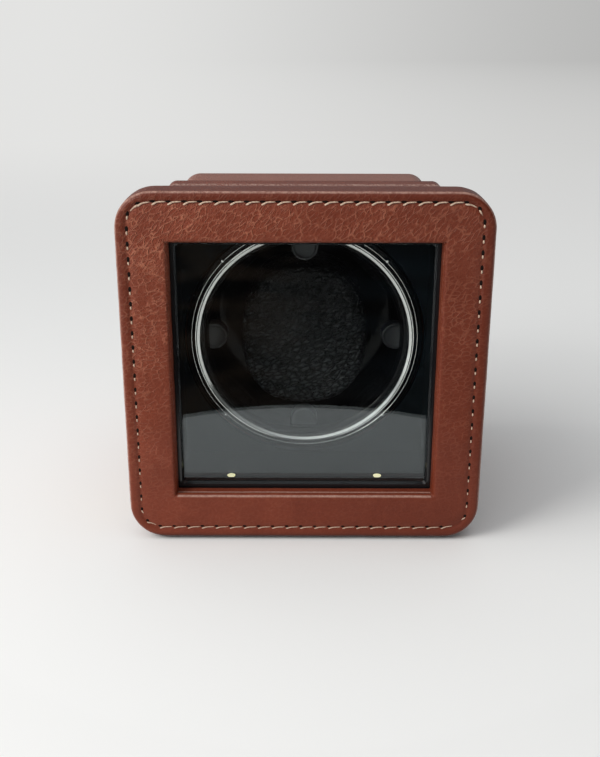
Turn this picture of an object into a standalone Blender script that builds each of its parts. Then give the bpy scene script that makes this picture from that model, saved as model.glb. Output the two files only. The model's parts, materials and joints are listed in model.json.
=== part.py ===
"""Single watch winder: a leather case with a glazed door and a geared drum that turns a watch cushion.

Lengths are in metres, +Z is up and the glazed door faces -Y. The part stands on four rubber feet, with its
origin on the table under the middle of its outline. Depths are measured back from the door's front face.
"""

import math

import bmesh
import bpy
from mathutils import Matrix, Vector

MM = 0.001

# Clearances shared by every fit
FIT = 0.3 * MM
RUNNING_FIT = 0.15 * MM

# Door
FACE_SIZE = 120 * MM
FACE_CORNER_R = 12 * MM
RAIL_WIDTH = 16 * MM
FRONT_FILLET = 1.8 * MM
BACK_FILLET = 1.0 * MM
WINDOW_CORNER_R = 1.2 * MM
WINDOW_EDGE_FILLET = 0.6 * MM
JAMB_DEPTH = 6.2 * MM
JAMB_DRAFT = 0.6 * MM
REBATE_WALL = 10 * MM
BEAD_REVEAL = 1.6 * MM
BEAD_THICKNESS = 1.2 * MM
GLASS_THICKNESS = 2 * MM
BACKING_THICKNESS = 2.7 * MM
BACKING_LIP = 1.1 * MM
DOOR_ABOVE_TABLE = 0.8 * MM
DOOR_GAP = 1.0 * MM

# Door magnets and the steel strikes that they pull to
MAGNET_WIDTH = 3 * MM
MAGNET_HEIGHT = 12 * MM
MAGNET_THICKNESS = 1.5 * MM
STRIKE_WIDTH = 1.8 * MM
STRIKE_THICKNESS = 1.0 * MM
MAGNET_END_INSET = 32 * MM

# Hinges
HINGE_INSET = 4 * MM
HINGE_END_INSET = 15 * MM
HINGE_HEIGHT = 26 * MM
KNUCKLE_R = 2.2 * MM
HINGE_PIN_R = 1.0 * MM
PIN_HEAD_R = 1.8 * MM
PIN_HEAD_HEIGHT = 0.8 * MM
LEAF_THICKNESS = 1.0 * MM
DOOR_LEAF_WIDTH = 7 * MM
CASE_LEAF_WIDTH = 10 * MM

# Leather cases
CASE_SETBACK = 8.3 * MM
CASE_WALL = 4.5 * MM
CASE_CORNER_R = 3.5 * MM
CASE_FILLET = 1.2 * MM
CASE_LENGTH = 62 * MM
REAR_SETBACK = 2.2 * MM
REAR_CORNER_R = 7 * MM
REAR_FILLET = 2 * MM
SPIGOT_LENGTH = 10 * MM
SPIGOT_WALL = 1.6 * MM
INNER_CORNER_R = 2 * MM

# Feet
FOOT_R = 6 * MM
FOOT_TAPER = 1 * MM
FOOT_EDGE = 0.8 * MM
FOOT_PEG_R = 2 * MM
FOOT_PEG_LENGTH = 3 * MM
FOOT_INSET = 15 * MM

# Lining, baffle and lamps
LINER_WALL = 3 * MM
LINER_LENGTH = 24 * MM
BAFFLE_THICKNESS = 2.5 * MM
BAFFLE_MARGIN = 3.3 * MM
LAMP_R = 1.5 * MM
LAMP_PROUD = 0.2 * MM
LAMP_OFFSET_X = 26 * MM
LAMP_SETBACK = 2.6 * MM

# Drum
DRUM_CLEARANCE = 0.8 * MM
FLANGE_WIDTH = 3.2 * MM
FLANGE_THICKNESS = 2.6 * MM
FLANGE_CHAMFER = 0.5 * MM
RING_WIDTH = 2.2 * MM
RING_SEAT_DEPTH = 2 * MM
RING_PROUD = 0.8 * MM
NECK_WALL = 0.9 * MM
NECK_END_WALL = 1.0 * MM
NECK_SLOPE = 3 * MM
CONE_STEP = 2.5 * MM
CONE_LENGTH = 4.4 * MM
FLAT_MOUTH_INSET = 1.2 * MM
FLAT_LIP = 0.6 * MM
FLAT_SLOPE_LENGTH = 5.4 * MM
FLAT_INSET = 2.7 * MM
CUP_WALL = 2.1 * MM
CUP_DEPTH = 38.4 * MM
CUP_FLOOR = 2 * MM
CUP_FLOOR_CORNER = 1.5 * MM
GRIP_R = 4.9 * MM
GRIP_SEAT = 3.2 * MM
GRIP_SETBACK = 4.4 * MM
GRIP_LENGTH = 5.6 * MM
GRIP_CHAMFER = 0.8 * MM
BEZEL_PIN_R = 0.9 * MM
BEZEL_PIN_SHANK_R = 0.5 * MM
BEZEL_PIN_SHANK = 1.6 * MM

# Watch cushion
STRAP_GAP = 3.8 * MM
CUSHION_SETBACK = 0.2 * MM
CUSHION_CROWN = 2.0 * MM
CUSHION_WAIST = 1.2 * MM
CUSHION_EDGE_R = 3.5 * MM
CUSHION_POWER = 2.5

# Gear pair
GEAR_MODULE = 0.9 * MM
DEDENDUM_MODULES = 1.25
PINION_TEETH = 18
PRESSURE_ANGLE = math.radians(20)
BACKLASH = 0.2 * MM
GEAR_THICKNESS = 4 * MM
GEAR_RIM = 3.5 * MM
GEAR_HUB_R = 8 * MM
GEAR_HUB_LENGTH = 1.4 * MM
GEAR_WEB_HOLES = 6
GEAR_WEB_MARGIN = 2.4 * MM
GEAR_SPOKE = 2.8 * MM
PINION_HUB_R = 4 * MM
PINION_HUB_LENGTH = 1.6 * MM
PINION_SHAFT_R = 1.5 * MM
PINION_ANGLE = math.radians(-45)

# Shaft, bearing and mechanism plate
SHAFT_R = 3 * MM
SHAFT_HEAD_R = 6 * MM
SHAFT_HEAD = 0.7 * MM
BUSH_WALL = 1.5 * MM
BUSH_FLANGE_R = 6.2 * MM
BUSH_FLANGE = 0.7 * MM
GEAR_TO_BUSH = 0.6 * MM
PLATE_THICKNESS = 2.5 * MM
PLATE_BOSS_R = 8 * MM
PLATE_BOSS = 3 * MM
CLIP_R = 5 * MM
CLIP_THICKNESS = 0.8 * MM
CLIP_GROOVE = 0.7 * MM
CLIP_MOUTH = math.radians(70)
SHAFT_END = 1.2 * MM

# Gear motor
GEARBOX_SIZE = 23 * MM
GEARBOX_CORNER_R = 3 * MM
GEARBOX_THICKNESS = 5 * MM
GEARBOX_NOSE_R = 3.2 * MM
GEARBOX_NOSE = 2 * MM
MOTOR_R = 10 * MM
MOTOR_LENGTH = 4.9 * MM
MOTOR_EDGE = 0.8 * MM
MOTOR_TO_PANEL = 3 * MM
GEARBOX_MARGIN = 5.1 * MM

# Rear panel and what it holds
PANEL_RECESS = 6 * MM
PANEL_THICKNESS = 2 * MM
LEDGE_WIDTH = 3 * MM
LEDGE_THICKNESS = 2.2 * MM
LEDGE_CORNER_R = 14 * MM
SCREW_INSET = 4.2 * MM
SCREW_HEAD_R = 2.2 * MM
SCREW_HEAD = 1.2 * MM
SCREW_SHANK_R = 1.0 * MM
CONTROL_COUNT = 4
CONTROL_DROP = 23 * MM
CONTROL_PITCH = 17 * MM
BOARD_END = 7 * MM
BOARD_HEIGHT = 26 * MM
BOARD_THICKNESS = 1.6 * MM
BOARD_TO_PANEL = 5.9 * MM
CONTROL_BODY = 9.5 * MM
CONTROL_BODY_LENGTH = 4.4 * MM
SWITCH_BODY = 6 * MM
SWITCH_BODY_LENGTH = 1 * MM
INLET_BARREL_R = 4 * MM
INLET_BORE_R = 2.8 * MM
INLET_BORE_DEPTH = 6.6 * MM
INLET_CONTACT_R = 0.65 * MM
INLET_PROUD = 0.6 * MM
KNOB_R = 6 * MM
KNOB_HEIGHT = 4.2 * MM
KNOB_SHAFT_R = 3 * MM
KNOB_FLUTES = 10
KNOB_FLUTE_DEPTH = 0.45 * MM
KNOB_CHAMFER = 0.5 * MM
POINTER_WIDTH = 0.9 * MM
POINTER_DEPTH = 0.6 * MM
BUTTON_R = 2.7 * MM
BUTTON_PROUD = 1.8 * MM
BUTTON_EDGE = 0.4 * MM
BUTTON_FLANGE_R = 3.8 * MM
BUTTON_FLANGE = 1.0 * MM
BUTTON_STEM_R = 1.2 * MM
BUTTON_TRAVEL = 1.2 * MM

# How finely curves are divided
ROUND_STEPS = 44
MEDIUM_STEPS = 20
SMALL_STEPS = 12
CORNER_STEPS = 5
FILLET_STEPS = 3
RING_ARCH_STEPS = 4
CUSHION_STEPS = 32
FLANK_STEPS = 2
SMOOTH_ANGLE = math.radians(35)
WELD_DISTANCE = 0.0001 * MM

# Depths behind the door's front face
BEAD_FRONT = JAMB_DEPTH + FIT
GLASS_FRONT = BEAD_FRONT + BEAD_THICKNESS + FIT
BACKING_FRONT = GLASS_FRONT + GLASS_THICKNESS + FIT
DOOR_THICKNESS = BACKING_FRONT + BACKING_THICKNESS
HINGE_DEPTH = DOOR_THICKNESS + KNUCKLE_R + FIT
CASE_FRONT = DOOR_THICKNESS + DOOR_GAP
CASE_BACK = CASE_FRONT + CASE_LENGTH
LINER_BACK = CASE_FRONT + LINER_LENGTH
BAFFLE_FRONT = LINER_BACK + FIT
DRUM_FRONT = BAFFLE_FRONT
CUP_FLOOR_FRONT = DRUM_FRONT + CUP_DEPTH
CUP_BACK = CUP_FLOOR_FRONT + CUP_FLOOR
GEAR_FRONT = CUP_BACK + FIT
GEAR_BACK = GEAR_FRONT + GEAR_THICKNESS
BUSH_FRONT = GEAR_BACK + GEAR_HUB_LENGTH + GEAR_TO_BUSH
PLATE_FRONT = BUSH_FRONT + BUSH_FLANGE + FIT
PLATE_BACK = PLATE_FRONT + PLATE_THICKNESS
BUSH_BACK = PLATE_BACK + PLATE_BOSS + FIT
CLIP_FRONT = BUSH_BACK + FIT
GEARBOX_FRONT = PLATE_BACK + FIT
MOTOR_FRONT = GEARBOX_FRONT + GEARBOX_THICKNESS + FIT
PANEL_FRONT = MOTOR_FRONT + MOTOR_LENGTH + MOTOR_TO_PANEL
PANEL_BACK = PANEL_FRONT + PANEL_THICKNESS
REAR_END = PANEL_BACK + PANEL_RECESS
LEDGE_BACK = PANEL_FRONT - FIT
BOARD_BACK = PANEL_FRONT - BOARD_TO_PANEL

# Half sizes and radii that follow from the driving dimensions
FACE_HALF = FACE_SIZE / 2
WINDOW_HALF = FACE_HALF - RAIL_WIDTH
JAMB_HALF = WINDOW_HALF - JAMB_DRAFT
REBATE_HALF = FACE_HALF - REBATE_WALL
HINGE_OFFSET_Z = FACE_HALF - HINGE_END_INSET - HINGE_HEIGHT / 2
MAGNET_OFFSET_Z = FACE_HALF - MAGNET_END_INSET
CASE_HALF = FACE_HALF - CASE_SETBACK
CASE_INNER_HALF = CASE_HALF - CASE_WALL
REAR_HALF = CASE_HALF - REAR_SETBACK
SPIGOT_HALF = CASE_INNER_HALF - FIT
BAY_HALF = SPIGOT_HALF - SPIGOT_WALL
LINER_HALF = CASE_INNER_HALF - FIT
LINER_INNER_HALF = LINER_HALF - LINER_WALL
PANEL_HALF = BAY_HALF - FIT
BAFFLE_HOLE_R = LINER_HALF - BAFFLE_MARGIN
FLANGE_R = BAFFLE_HOLE_R - DRUM_CLEARANCE
RING_OUTER_R = FLANGE_R - FLANGE_WIDTH
RING_INNER_R = RING_OUTER_R - RING_WIDTH
NECK_R = RING_OUTER_R + NECK_WALL
NECK_LENGTH = GRIP_SETBACK + GRIP_LENGTH + NECK_END_WALL
CUP_R = RING_INNER_R - CONE_STEP
GRIP_CENTRE_R = CUP_R + GRIP_SEAT - GRIP_R
GRIP_REACH = GRIP_CENTRE_R - GRIP_R
CUSHION_HALF_WIDTH = GRIP_REACH - STRAP_GAP
CUSHION_HALF_HEIGHT = GRIP_REACH - FIT
GEAR_REACH = (BAY_HALF - GEARBOX_SIZE / 2 - GEARBOX_MARGIN) / math.cos(PINION_ANGLE)
DRUM_TEETH = int(2 * GEAR_REACH / GEAR_MODULE) - PINION_TEETH
GEAR_DISTANCE = (DRUM_TEETH + PINION_TEETH) * GEAR_MODULE / 2
CONTROL_RISE = PANEL_HALF - CONTROL_DROP
CENTRE_Z = DOOR_ABOVE_TABLE + FACE_HALF


def row_y(depth):
    """The part's Y at a depth behind the door's front face."""
    return depth - REAR_END / 2


AXIS = Vector((0, 0, CENTRE_Z))
HINGE_AXIS = Vector((HINGE_INSET - FACE_HALF, row_y(HINGE_DEPTH), CENTRE_Z))
PINION_AXIS = AXIS + GEAR_DISTANCE * Vector((math.cos(PINION_ANGLE), 0, math.sin(PINION_ANGLE)))
CONTROL_X = [CONTROL_PITCH * (place - (CONTROL_COUNT - 1) / 2) for place in range(CONTROL_COUNT)]
CONTROL_AXES = [AXIS + Vector((x, 0, CONTROL_RISE)) for x in CONTROL_X]


def clear_scene():
    """Removes what the startup scene holds."""
    for item in list(bpy.data.objects):
        bpy.data.objects.remove(item, do_unlink=True)


def make_material(name, colour, roughness, metallic=0.0, alpha=1.0):
    """A Principled material of one colour."""
    material = bpy.data.materials.new(name)
    material.use_nodes = True
    shader = material.node_tree.nodes["Principled BSDF"]
    shader.inputs["Base Color"].default_value = (*colour, 1)
    shader.inputs["Roughness"].default_value = roughness
    shader.inputs["Metallic"].default_value = metallic
    shader.inputs["Alpha"].default_value = alpha
    material.diffuse_color = (*colour, alpha)
    return material


def make_materials():
    """Every finish on the part, by a short name."""
    return {
        "leather": make_material("brown_leather", (0.22, 0.07, 0.04), 0.45),
        "black_leather": make_material("black_leather", (0.02, 0.02, 0.022), 0.5),
        "lining": make_material("black_lining", (0.012, 0.014, 0.016), 0.8),
        "glass": make_material("clear_glass", (0.9, 0.95, 0.95), 0.02, 0.0, 0.2),
        "gloss_black": make_material("gloss_black_plastic", (0.01, 0.01, 0.011), 0.12),
        "black_plastic": make_material("black_plastic", (0.02, 0.02, 0.022), 0.4),
        "white_plastic": make_material("white_plastic", (0.75, 0.74, 0.7), 0.35),
        "lamp": make_material("warm_lens", (0.9, 0.8, 0.45), 0.15),
        "chrome": make_material("chrome", (0.85, 0.85, 0.86), 0.06, 1.0),
        "steel": make_material("steel", (0.5, 0.5, 0.52), 0.3, 1.0),
        "brass": make_material("brass", (0.6, 0.42, 0.16), 0.3, 1.0),
        "board": make_material("circuit_board", (0.03, 0.16, 0.07), 0.5),
        "rubber": make_material("black_rubber", (0.015, 0.015, 0.015), 0.8),
    }


def make_object(name, mesh, place, material=None):
    """An object of the mesh with its origin at the place."""
    item = bpy.data.objects.new(name, mesh)
    item.location = place
    bpy.context.scene.collection.objects.link(item)
    if material and not mesh.materials:
        mesh.materials.append(material)
    return item


def finish_mesh(name, bm, smooth_angle=None):
    """The mesh of a bmesh, with its faces pointing out."""
    bmesh.ops.remove_doubles(bm, verts=bm.verts, dist=WELD_DISTANCE)
    bmesh.ops.recalc_face_normals(bm, faces=bm.faces)
    mesh = bpy.data.meshes.new(name)
    bm.to_mesh(mesh)
    bm.free()
    if smooth_angle:
        mesh.shade_smooth()
        mesh.set_sharp_from_angle(angle=smooth_angle)
    return mesh


def rounded_square(half, corner_r, depth):
    """Points of a rounded square in the plane at this depth."""
    points = []
    for side_x, side_z, turn in ((1, 1, 0), (-1, 1, 1), (-1, -1, 2), (1, -1, 3)):
        for step in range(CORNER_STEPS + 1):
            angle = (turn + step / CORNER_STEPS) * math.pi / 2
            x = side_x * (half - corner_r) + corner_r * math.cos(angle)
            z = side_z * (half - corner_r) + corner_r * math.sin(angle)
            points.append(Vector((x, row_y(depth), z)))
    return points


def fillet(half, corner_r, edge_depth, radius, into):
    """Sections that round an outer edge: into is +1 from the face backwards, and -1 towards the face."""
    sections = []
    for step in range(FILLET_STEPS + 1):
        angle = step / FILLET_STEPS * math.pi / 2
        shrink = radius * (1 - math.sin(angle))
        depth = edge_depth + into * radius * (1 - math.cos(angle))
        sections.append(rounded_square(half - shrink, corner_r - shrink, depth))
    return sections if into > 0 else sections[::-1]


def joined_sections(name, sections, closed):
    """The mesh through a row of sections, which returns to its first one or has a cap at each end."""
    bm = bmesh.new()
    loops = [[bm.verts.new(point) for point in section] for section in sections]
    pairs = list(zip(loops, loops[1:]))
    if closed:
        pairs.append((loops[-1], loops[0]))
    else:
        bm.faces.new(loops[0])
        bm.faces.new(loops[-1])
    for first, second in pairs:
        for here, start in enumerate(first):
            after = (here + 1) % len(first)
            bm.faces.new((start, first[after], second[after], second[here]))
    return finish_mesh(name, bm, SMOOTH_ANGLE)


def turned(name, profile, steps, axis=(0, 1, 0)):
    """The mesh that a profile of (radius, place along the axis) sweeps round the axis through the origin."""
    along = Vector(axis)
    side = Vector((1, 0, 0))
    bm = bmesh.new()
    points = [bm.verts.new(side * radius + along * place) for radius, place in profile]
    edges = [bm.edges.new(pair) for pair in zip(points, points[1:])]
    if profile[0][0] > 0:
        edges.append(bm.edges.new((points[-1], points[0])))
    bmesh.ops.spin(bm, geom=points + edges, cent=(0, 0, 0), axis=along, dvec=(0, 0, 0),
                   angle=2 * math.pi, steps=steps, use_duplicate=False)
    return finish_mesh(name, bm, SMOOTH_ANGLE)


def turned_y(name, profile, steps):
    """A turned mesh along Y, with its profile's places given as depths."""
    return turned(name, [(radius, row_y(depth)) for radius, depth in profile], steps)


def prism(name, outline, front, back):
    """The mesh of an outline of (x, z) points carried from one depth to another."""
    bm = bmesh.new()
    face = bm.faces.new([bm.verts.new((x, row_y(front), z)) for x, z in outline])
    moved = bmesh.ops.extrude_face_region(bm, geom=[face])["geom"]
    corners = [item for item in moved if isinstance(item, bmesh.types.BMVert)]
    bmesh.ops.translate(bm, verts=corners, vec=(0, back - front, 0))
    return finish_mesh(name, bm)


def slab(name, outline, left, right):
    """The mesh of an outline of (y, z) points carried from one X to another."""
    bm = bmesh.new()
    face = bm.faces.new([bm.verts.new((left, y, z)) for y, z in outline])
    moved = bmesh.ops.extrude_face_region(bm, geom=[face])["geom"]
    corners = [item for item in moved if isinstance(item, bmesh.types.BMVert)]
    bmesh.ops.translate(bm, verts=corners, vec=(right - left, 0, 0))
    return finish_mesh(name, bm)


def circle(radius, steps, centre=(0, 0)):
    """Points of a circle in X and Z, none of them on an axis or a diagonal."""
    turns = [2 * math.pi * (step + 0.5) / steps for step in range(steps)]
    return [(centre[0] + radius * math.cos(turn), centre[1] + radius * math.sin(turn)) for turn in turns]


def rectangle(width, height, centre=(0, 0)):
    """Corners of a rectangle in X and Z."""
    return [(centre[0] + side_x * width / 2, centre[1] + side_z * height / 2)
            for side_x, side_z in ((-1, -1), (1, -1), (1, 1), (-1, 1))]


def box(name, low, high):
    """The mesh of a box between two corners."""
    bm = bmesh.new()
    bmesh.ops.create_cube(bm, size=1)
    size = Vector(high) - Vector(low)
    middle = (Vector(high) + Vector(low)) / 2
    bmesh.ops.transform(bm, matrix=Matrix.Translation(middle) @ Matrix.Diagonal((*size, 1)), verts=bm.verts)
    return finish_mesh(name, bm)


def helper(mesh, place):
    """An object that only shapes others."""
    item = make_object(mesh.name + "_helper", mesh, place)
    item.hide_render = True
    item.display_type = "WIRE"
    return item


def add_boolean(item, operation, other):
    """Shapes the object with another one."""
    boolean = item.modifiers.new(other.name, "BOOLEAN")
    boolean.operation = operation
    boolean.solver = "EXACT"
    boolean.object = other


def shape_with(item, operation, meshes, place=None):
    """Cuts the meshes from the object, joins them to it, or keeps what lies in them."""
    for mesh in meshes:
        add_boolean(item, operation, helper(mesh, item.location if place is None else place))


def add_pivot(name, place):
    """An empty on a joint's axis."""
    pivot = bpy.data.objects.new(name, None)
    pivot.location = place
    bpy.context.scene.collection.objects.link(pivot)
    return pivot


def hang_on(pivot, *items):
    """Parents pieces to a pivot where they stand."""
    for item in items:
        item.parent = pivot
        item.location -= pivot.location


def make_door(materials):
    """The leather frame, its glass and the pieces that hold the glass in it."""
    sections = fillet(FACE_HALF, FACE_CORNER_R, 0, FRONT_FILLET, 1)
    sections += fillet(FACE_HALF, FACE_CORNER_R, DOOR_THICKNESS, BACK_FILLET, -1)
    sections += [
        rounded_square(REBATE_HALF, INNER_CORNER_R, DOOR_THICKNESS),
        rounded_square(REBATE_HALF, INNER_CORNER_R, JAMB_DEPTH),
        rounded_square(JAMB_HALF, WINDOW_CORNER_R, JAMB_DEPTH),
        rounded_square(WINDOW_HALF, WINDOW_CORNER_R, WINDOW_EDGE_FILLET),
        rounded_square(WINDOW_HALF + WINDOW_EDGE_FILLET, WINDOW_CORNER_R + WINDOW_EDGE_FILLET, 0),
    ]
    frame = make_object("door_frame", joined_sections("door_frame", sections, True), AXIS,
                        materials["leather"])
    in_rebate = REBATE_HALF - FIT
    bead_inner = JAMB_HALF - BEAD_REVEAL
    bead_back = BEAD_FRONT + BEAD_THICKNESS
    bead_sections = [
        rounded_square(in_rebate, INNER_CORNER_R - FIT, BEAD_FRONT),
        rounded_square(in_rebate, INNER_CORNER_R - FIT, bead_back),
        rounded_square(bead_inner, WINDOW_CORNER_R, bead_back),
        rounded_square(bead_inner + BEAD_THICKNESS / 2, WINDOW_CORNER_R, BEAD_FRONT),
    ]
    bead = make_object("glazing_bead", joined_sections("glazing_bead", bead_sections, True), AXIS,
                       materials["gloss_black"])
    pane_sections = [
        rounded_square(in_rebate, INNER_CORNER_R - FIT, GLASS_FRONT),
        rounded_square(in_rebate, INNER_CORNER_R - FIT, GLASS_FRONT + GLASS_THICKNESS),
    ]
    pane = make_object("door_glass", joined_sections("door_glass", pane_sections, False), AXIS,
                       materials["glass"])
    backing_inner = LINER_INNER_HALF - BACKING_LIP
    backing_sections = [
        rounded_square(in_rebate, INNER_CORNER_R - FIT, BACKING_FRONT),
        rounded_square(in_rebate, INNER_CORNER_R - FIT, DOOR_THICKNESS),
        rounded_square(backing_inner, WINDOW_CORNER_R, DOOR_THICKNESS),
        rounded_square(backing_inner, WINDOW_CORNER_R, BACKING_FRONT),
    ]
    backing = make_object("door_backing", joined_sections("door_backing", backing_sections, True), AXIS,
                          materials["black_plastic"])
    return frame, bead, pane, backing


def make_latch(backing, liner, materials):
    """Bar magnets in the door's backing and the steel strikes that face them in the lining's rim."""
    magnets = []
    latch_x = LINER_HALF - LINER_WALL / 2
    for label, side in (("upper", 1), ("lower", -1)):
        centre = (latch_x, side * MAGNET_OFFSET_Z)
        shape_with(backing, "DIFFERENCE", [prism(
            f"magnet_pocket_{label}", rectangle(MAGNET_WIDTH + 2 * FIT, MAGNET_HEIGHT + 2 * FIT, centre),
            DOOR_THICKNESS - MAGNET_THICKNESS - 2 * FIT, DOOR_THICKNESS + FIT)])
        magnets.append(make_object(f"door_magnet_{label}", prism(
            f"door_magnet_{label}", rectangle(MAGNET_WIDTH, MAGNET_HEIGHT, centre),
            DOOR_THICKNESS - MAGNET_THICKNESS - FIT, DOOR_THICKNESS - FIT), AXIS, materials["steel"]))
        shape_with(liner, "DIFFERENCE", [prism(
            f"strike_pocket_{label}", rectangle(STRIKE_WIDTH + FIT, MAGNET_HEIGHT + FIT, centre),
            CASE_FRONT - FIT, CASE_FRONT + STRIKE_THICKNESS + FIT)])
        make_object(f"strike_plate_{label}", prism(
            f"strike_plate_{label}", rectangle(STRIKE_WIDTH, MAGNET_HEIGHT, centre),
            CASE_FRONT, CASE_FRONT + STRIKE_THICKNESS), AXIS, materials["steel"])
    return magnets


def knuckle(name, low, high, radius=KNUCKLE_R):
    """A round of the hinge barrel, upright on the hinge axis."""
    return turned(name, [(0, low), (radius, low), (radius, high), (0, high)], SMALL_STEPS, (0, 0, 1))


def make_hinge(label, side, frame, materials):
    """A butt hinge behind the door's edge: outer knuckles on the door's leaf, the middle on the case's."""
    place = HINGE_AXIS + Vector((0, 0, side * HINGE_OFFSET_Z))
    half = HINGE_HEIGHT / 2
    third = HINGE_HEIGHT / 6
    inset = FIT / 2
    bore = knuckle(f"hinge_bore_{label}", -HINGE_HEIGHT, HINGE_HEIGHT, HINGE_PIN_R + RUNNING_FIT)
    leaf_back = DOOR_THICKNESS - HINGE_DEPTH
    leaf_front = leaf_back - LEAF_THICKNESS

    leaf_low = Vector((-DOOR_LEAF_WIDTH / 2, leaf_front, -half))
    leaf_high = Vector((DOOR_LEAF_WIDTH / 2, leaf_back, half))
    name = f"hinge_{label}_door_leaf"
    door_leaf = make_object(name, box(name, leaf_low, leaf_high), place, materials["brass"])
    for end, low, high in (("top", third + FIT, half), ("bottom", -half, -third - FIT)):
        arm = box(f"hinge_{label}_arm_{end}", (-KNUCKLE_R / 2, leaf_front + LEAF_THICKNESS / 2, low + inset),
                  (KNUCKLE_R / 2, 0, high - inset))
        shape_with(door_leaf, "UNION", [arm, knuckle(f"hinge_{label}_knuckle_{end}", low, high)])
    shape_with(door_leaf, "DIFFERENCE", [bore])
    gap = Vector((FIT, FIT, FIT))
    shape_with(frame, "DIFFERENCE", [box(f"leaf_pocket_{label}", leaf_low - gap, leaf_high + gap)], place)

    side_x = -CASE_HALF - HINGE_AXIS.x - FIT
    leaf_start = KNUCKLE_R + FIT
    leaf_end = leaf_start + CASE_LEAF_WIDTH
    tongue = third - inset
    name = f"hinge_{label}_case_leaf"
    tee = [(-LEAF_THICKNESS / 2, -tongue), (leaf_start, -tongue), (leaf_start, -half), (leaf_end, -half),
           (leaf_end, half), (leaf_start, half), (leaf_start, tongue), (-LEAF_THICKNESS / 2, tongue)]
    case_leaf = make_object(name, slab(name, tee, side_x - LEAF_THICKNESS, side_x), place,
                            materials["brass"])
    web = box(f"hinge_{label}_web", (0, inset - LEAF_THICKNESS / 2, inset - tongue),
              (side_x - LEAF_THICKNESS / 2, LEAF_THICKNESS / 2 - inset, tongue - inset))
    shape_with(case_leaf, "UNION", [web, knuckle(f"hinge_{label}_knuckle_middle", -third, third)])
    shape_with(case_leaf, "DIFFERENCE", [bore])

    pin_profile = [(0, -half), (HINGE_PIN_R, -half), (HINGE_PIN_R, half + FIT), (PIN_HEAD_R, half + FIT),
                   (PIN_HEAD_R, half + FIT + PIN_HEAD_HEIGHT), (0, half + FIT + PIN_HEAD_HEIGHT)]
    name = f"hinge_{label}_pin"
    make_object(name, turned(name, pin_profile, SMALL_STEPS, (0, 0, 1)), place, materials["steel"])
    return door_leaf


def make_cases(materials):
    """The two leather sleeves: the rear one enters the middle one with a thin spigot."""
    sections = fillet(CASE_HALF, CASE_CORNER_R, CASE_FRONT, CASE_FILLET, 1)
    sections += fillet(CASE_HALF, CASE_CORNER_R, CASE_BACK, CASE_FILLET, -1)
    sections += [rounded_square(CASE_INNER_HALF, INNER_CORNER_R, depth) for depth in (CASE_BACK, CASE_FRONT)]
    middle = make_object("mid_case", joined_sections("mid_case", sections, True), AXIS, materials["leather"])

    spigot_front = CASE_BACK - SPIGOT_LENGTH
    shoulder = CASE_BACK + FIT
    ledge_front = LEDGE_BACK - LEDGE_THICKNESS
    ledge_half = BAY_HALF - LEDGE_WIDTH
    sections = [rounded_square(SPIGOT_HALF, INNER_CORNER_R, depth) for depth in (spigot_front, shoulder)]
    sections += [rounded_square(REAR_HALF, REAR_CORNER_R, shoulder)]
    sections += fillet(REAR_HALF, REAR_CORNER_R, REAR_END, REAR_FILLET, -1)
    sections += [rounded_square(BAY_HALF, INNER_CORNER_R, depth) for depth in (REAR_END, LEDGE_BACK)]
    sections += [rounded_square(ledge_half, LEDGE_CORNER_R, depth) for depth in (LEDGE_BACK, ledge_front)]
    sections += [rounded_square(BAY_HALF, INNER_CORNER_R, depth) for depth in (ledge_front, spigot_front)]
    rear = make_object("rear_case", joined_sections("rear_case", sections, True), AXIS, materials["leather"])
    return middle, rear


def make_feet(middle, rear, materials):
    """Four rubber feet with pegs: those under the rear sleeve are longer, because it is smaller."""
    stands = (
        ("front", middle, CASE_HALF, CASE_FRONT + FOOT_INSET),
        ("rear", rear, REAR_HALF, REAR_END - FOOT_INSET),
    )
    for label, case, half, depth in stands:
        height = CENTRE_Z - half - FIT
        foot = turned(f"{label}_foot", [
            (0, 0), (FOOT_R - FOOT_TAPER - FOOT_EDGE, 0), (FOOT_R - FOOT_TAPER, FOOT_EDGE), (FOOT_R, height),
            (FOOT_PEG_R, height), (FOOT_PEG_R, height + FOOT_PEG_LENGTH), (0, height + FOOT_PEG_LENGTH),
        ], MEDIUM_STEPS, (0, 0, 1))
        peg_top = height + FOOT_PEG_LENGTH + FIT
        for side_name, side in (("left", -1), ("right", 1)):
            place = Vector((side * (half - FOOT_INSET), row_y(depth), 0))
            make_object(f"foot_{label}_{side_name}", foot, place, materials["rubber"])
            hole = turned(f"peg_hole_{label}_{side_name}", [
                (0, 0), (FOOT_PEG_R + FIT, 0), (FOOT_PEG_R + FIT, peg_top), (0, peg_top),
            ], SMALL_STEPS, (0, 0, 1))
            shape_with(case, "DIFFERENCE", [hole], place)


def make_interior(materials):
    """The black lining behind the door and the baffle with the drum's round hole."""
    corner_r = INNER_CORNER_R - FIT
    sections = [rounded_square(LINER_HALF, corner_r, depth) for depth in (CASE_FRONT, LINER_BACK)]
    sections += [rounded_square(LINER_INNER_HALF, WINDOW_CORNER_R, depth)
                 for depth in (LINER_BACK, CASE_FRONT)]
    liner = make_object("inner_liner", joined_sections("inner_liner", sections, True), AXIS,
                        materials["lining"])
    baffle_back = BAFFLE_FRONT + BAFFLE_THICKNESS
    sections = [rounded_square(LINER_HALF, corner_r, depth) for depth in (BAFFLE_FRONT, baffle_back)]
    baffle = make_object("baffle_panel", joined_sections("baffle_panel", sections, False), AXIS,
                         materials["lining"])
    shape_with(baffle, "DIFFERENCE", [prism(
        "baffle_hole", circle(BAFFLE_HOLE_R, ROUND_STEPS), BAFFLE_FRONT - FIT, baffle_back + FIT)])
    return liner, baffle


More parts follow.
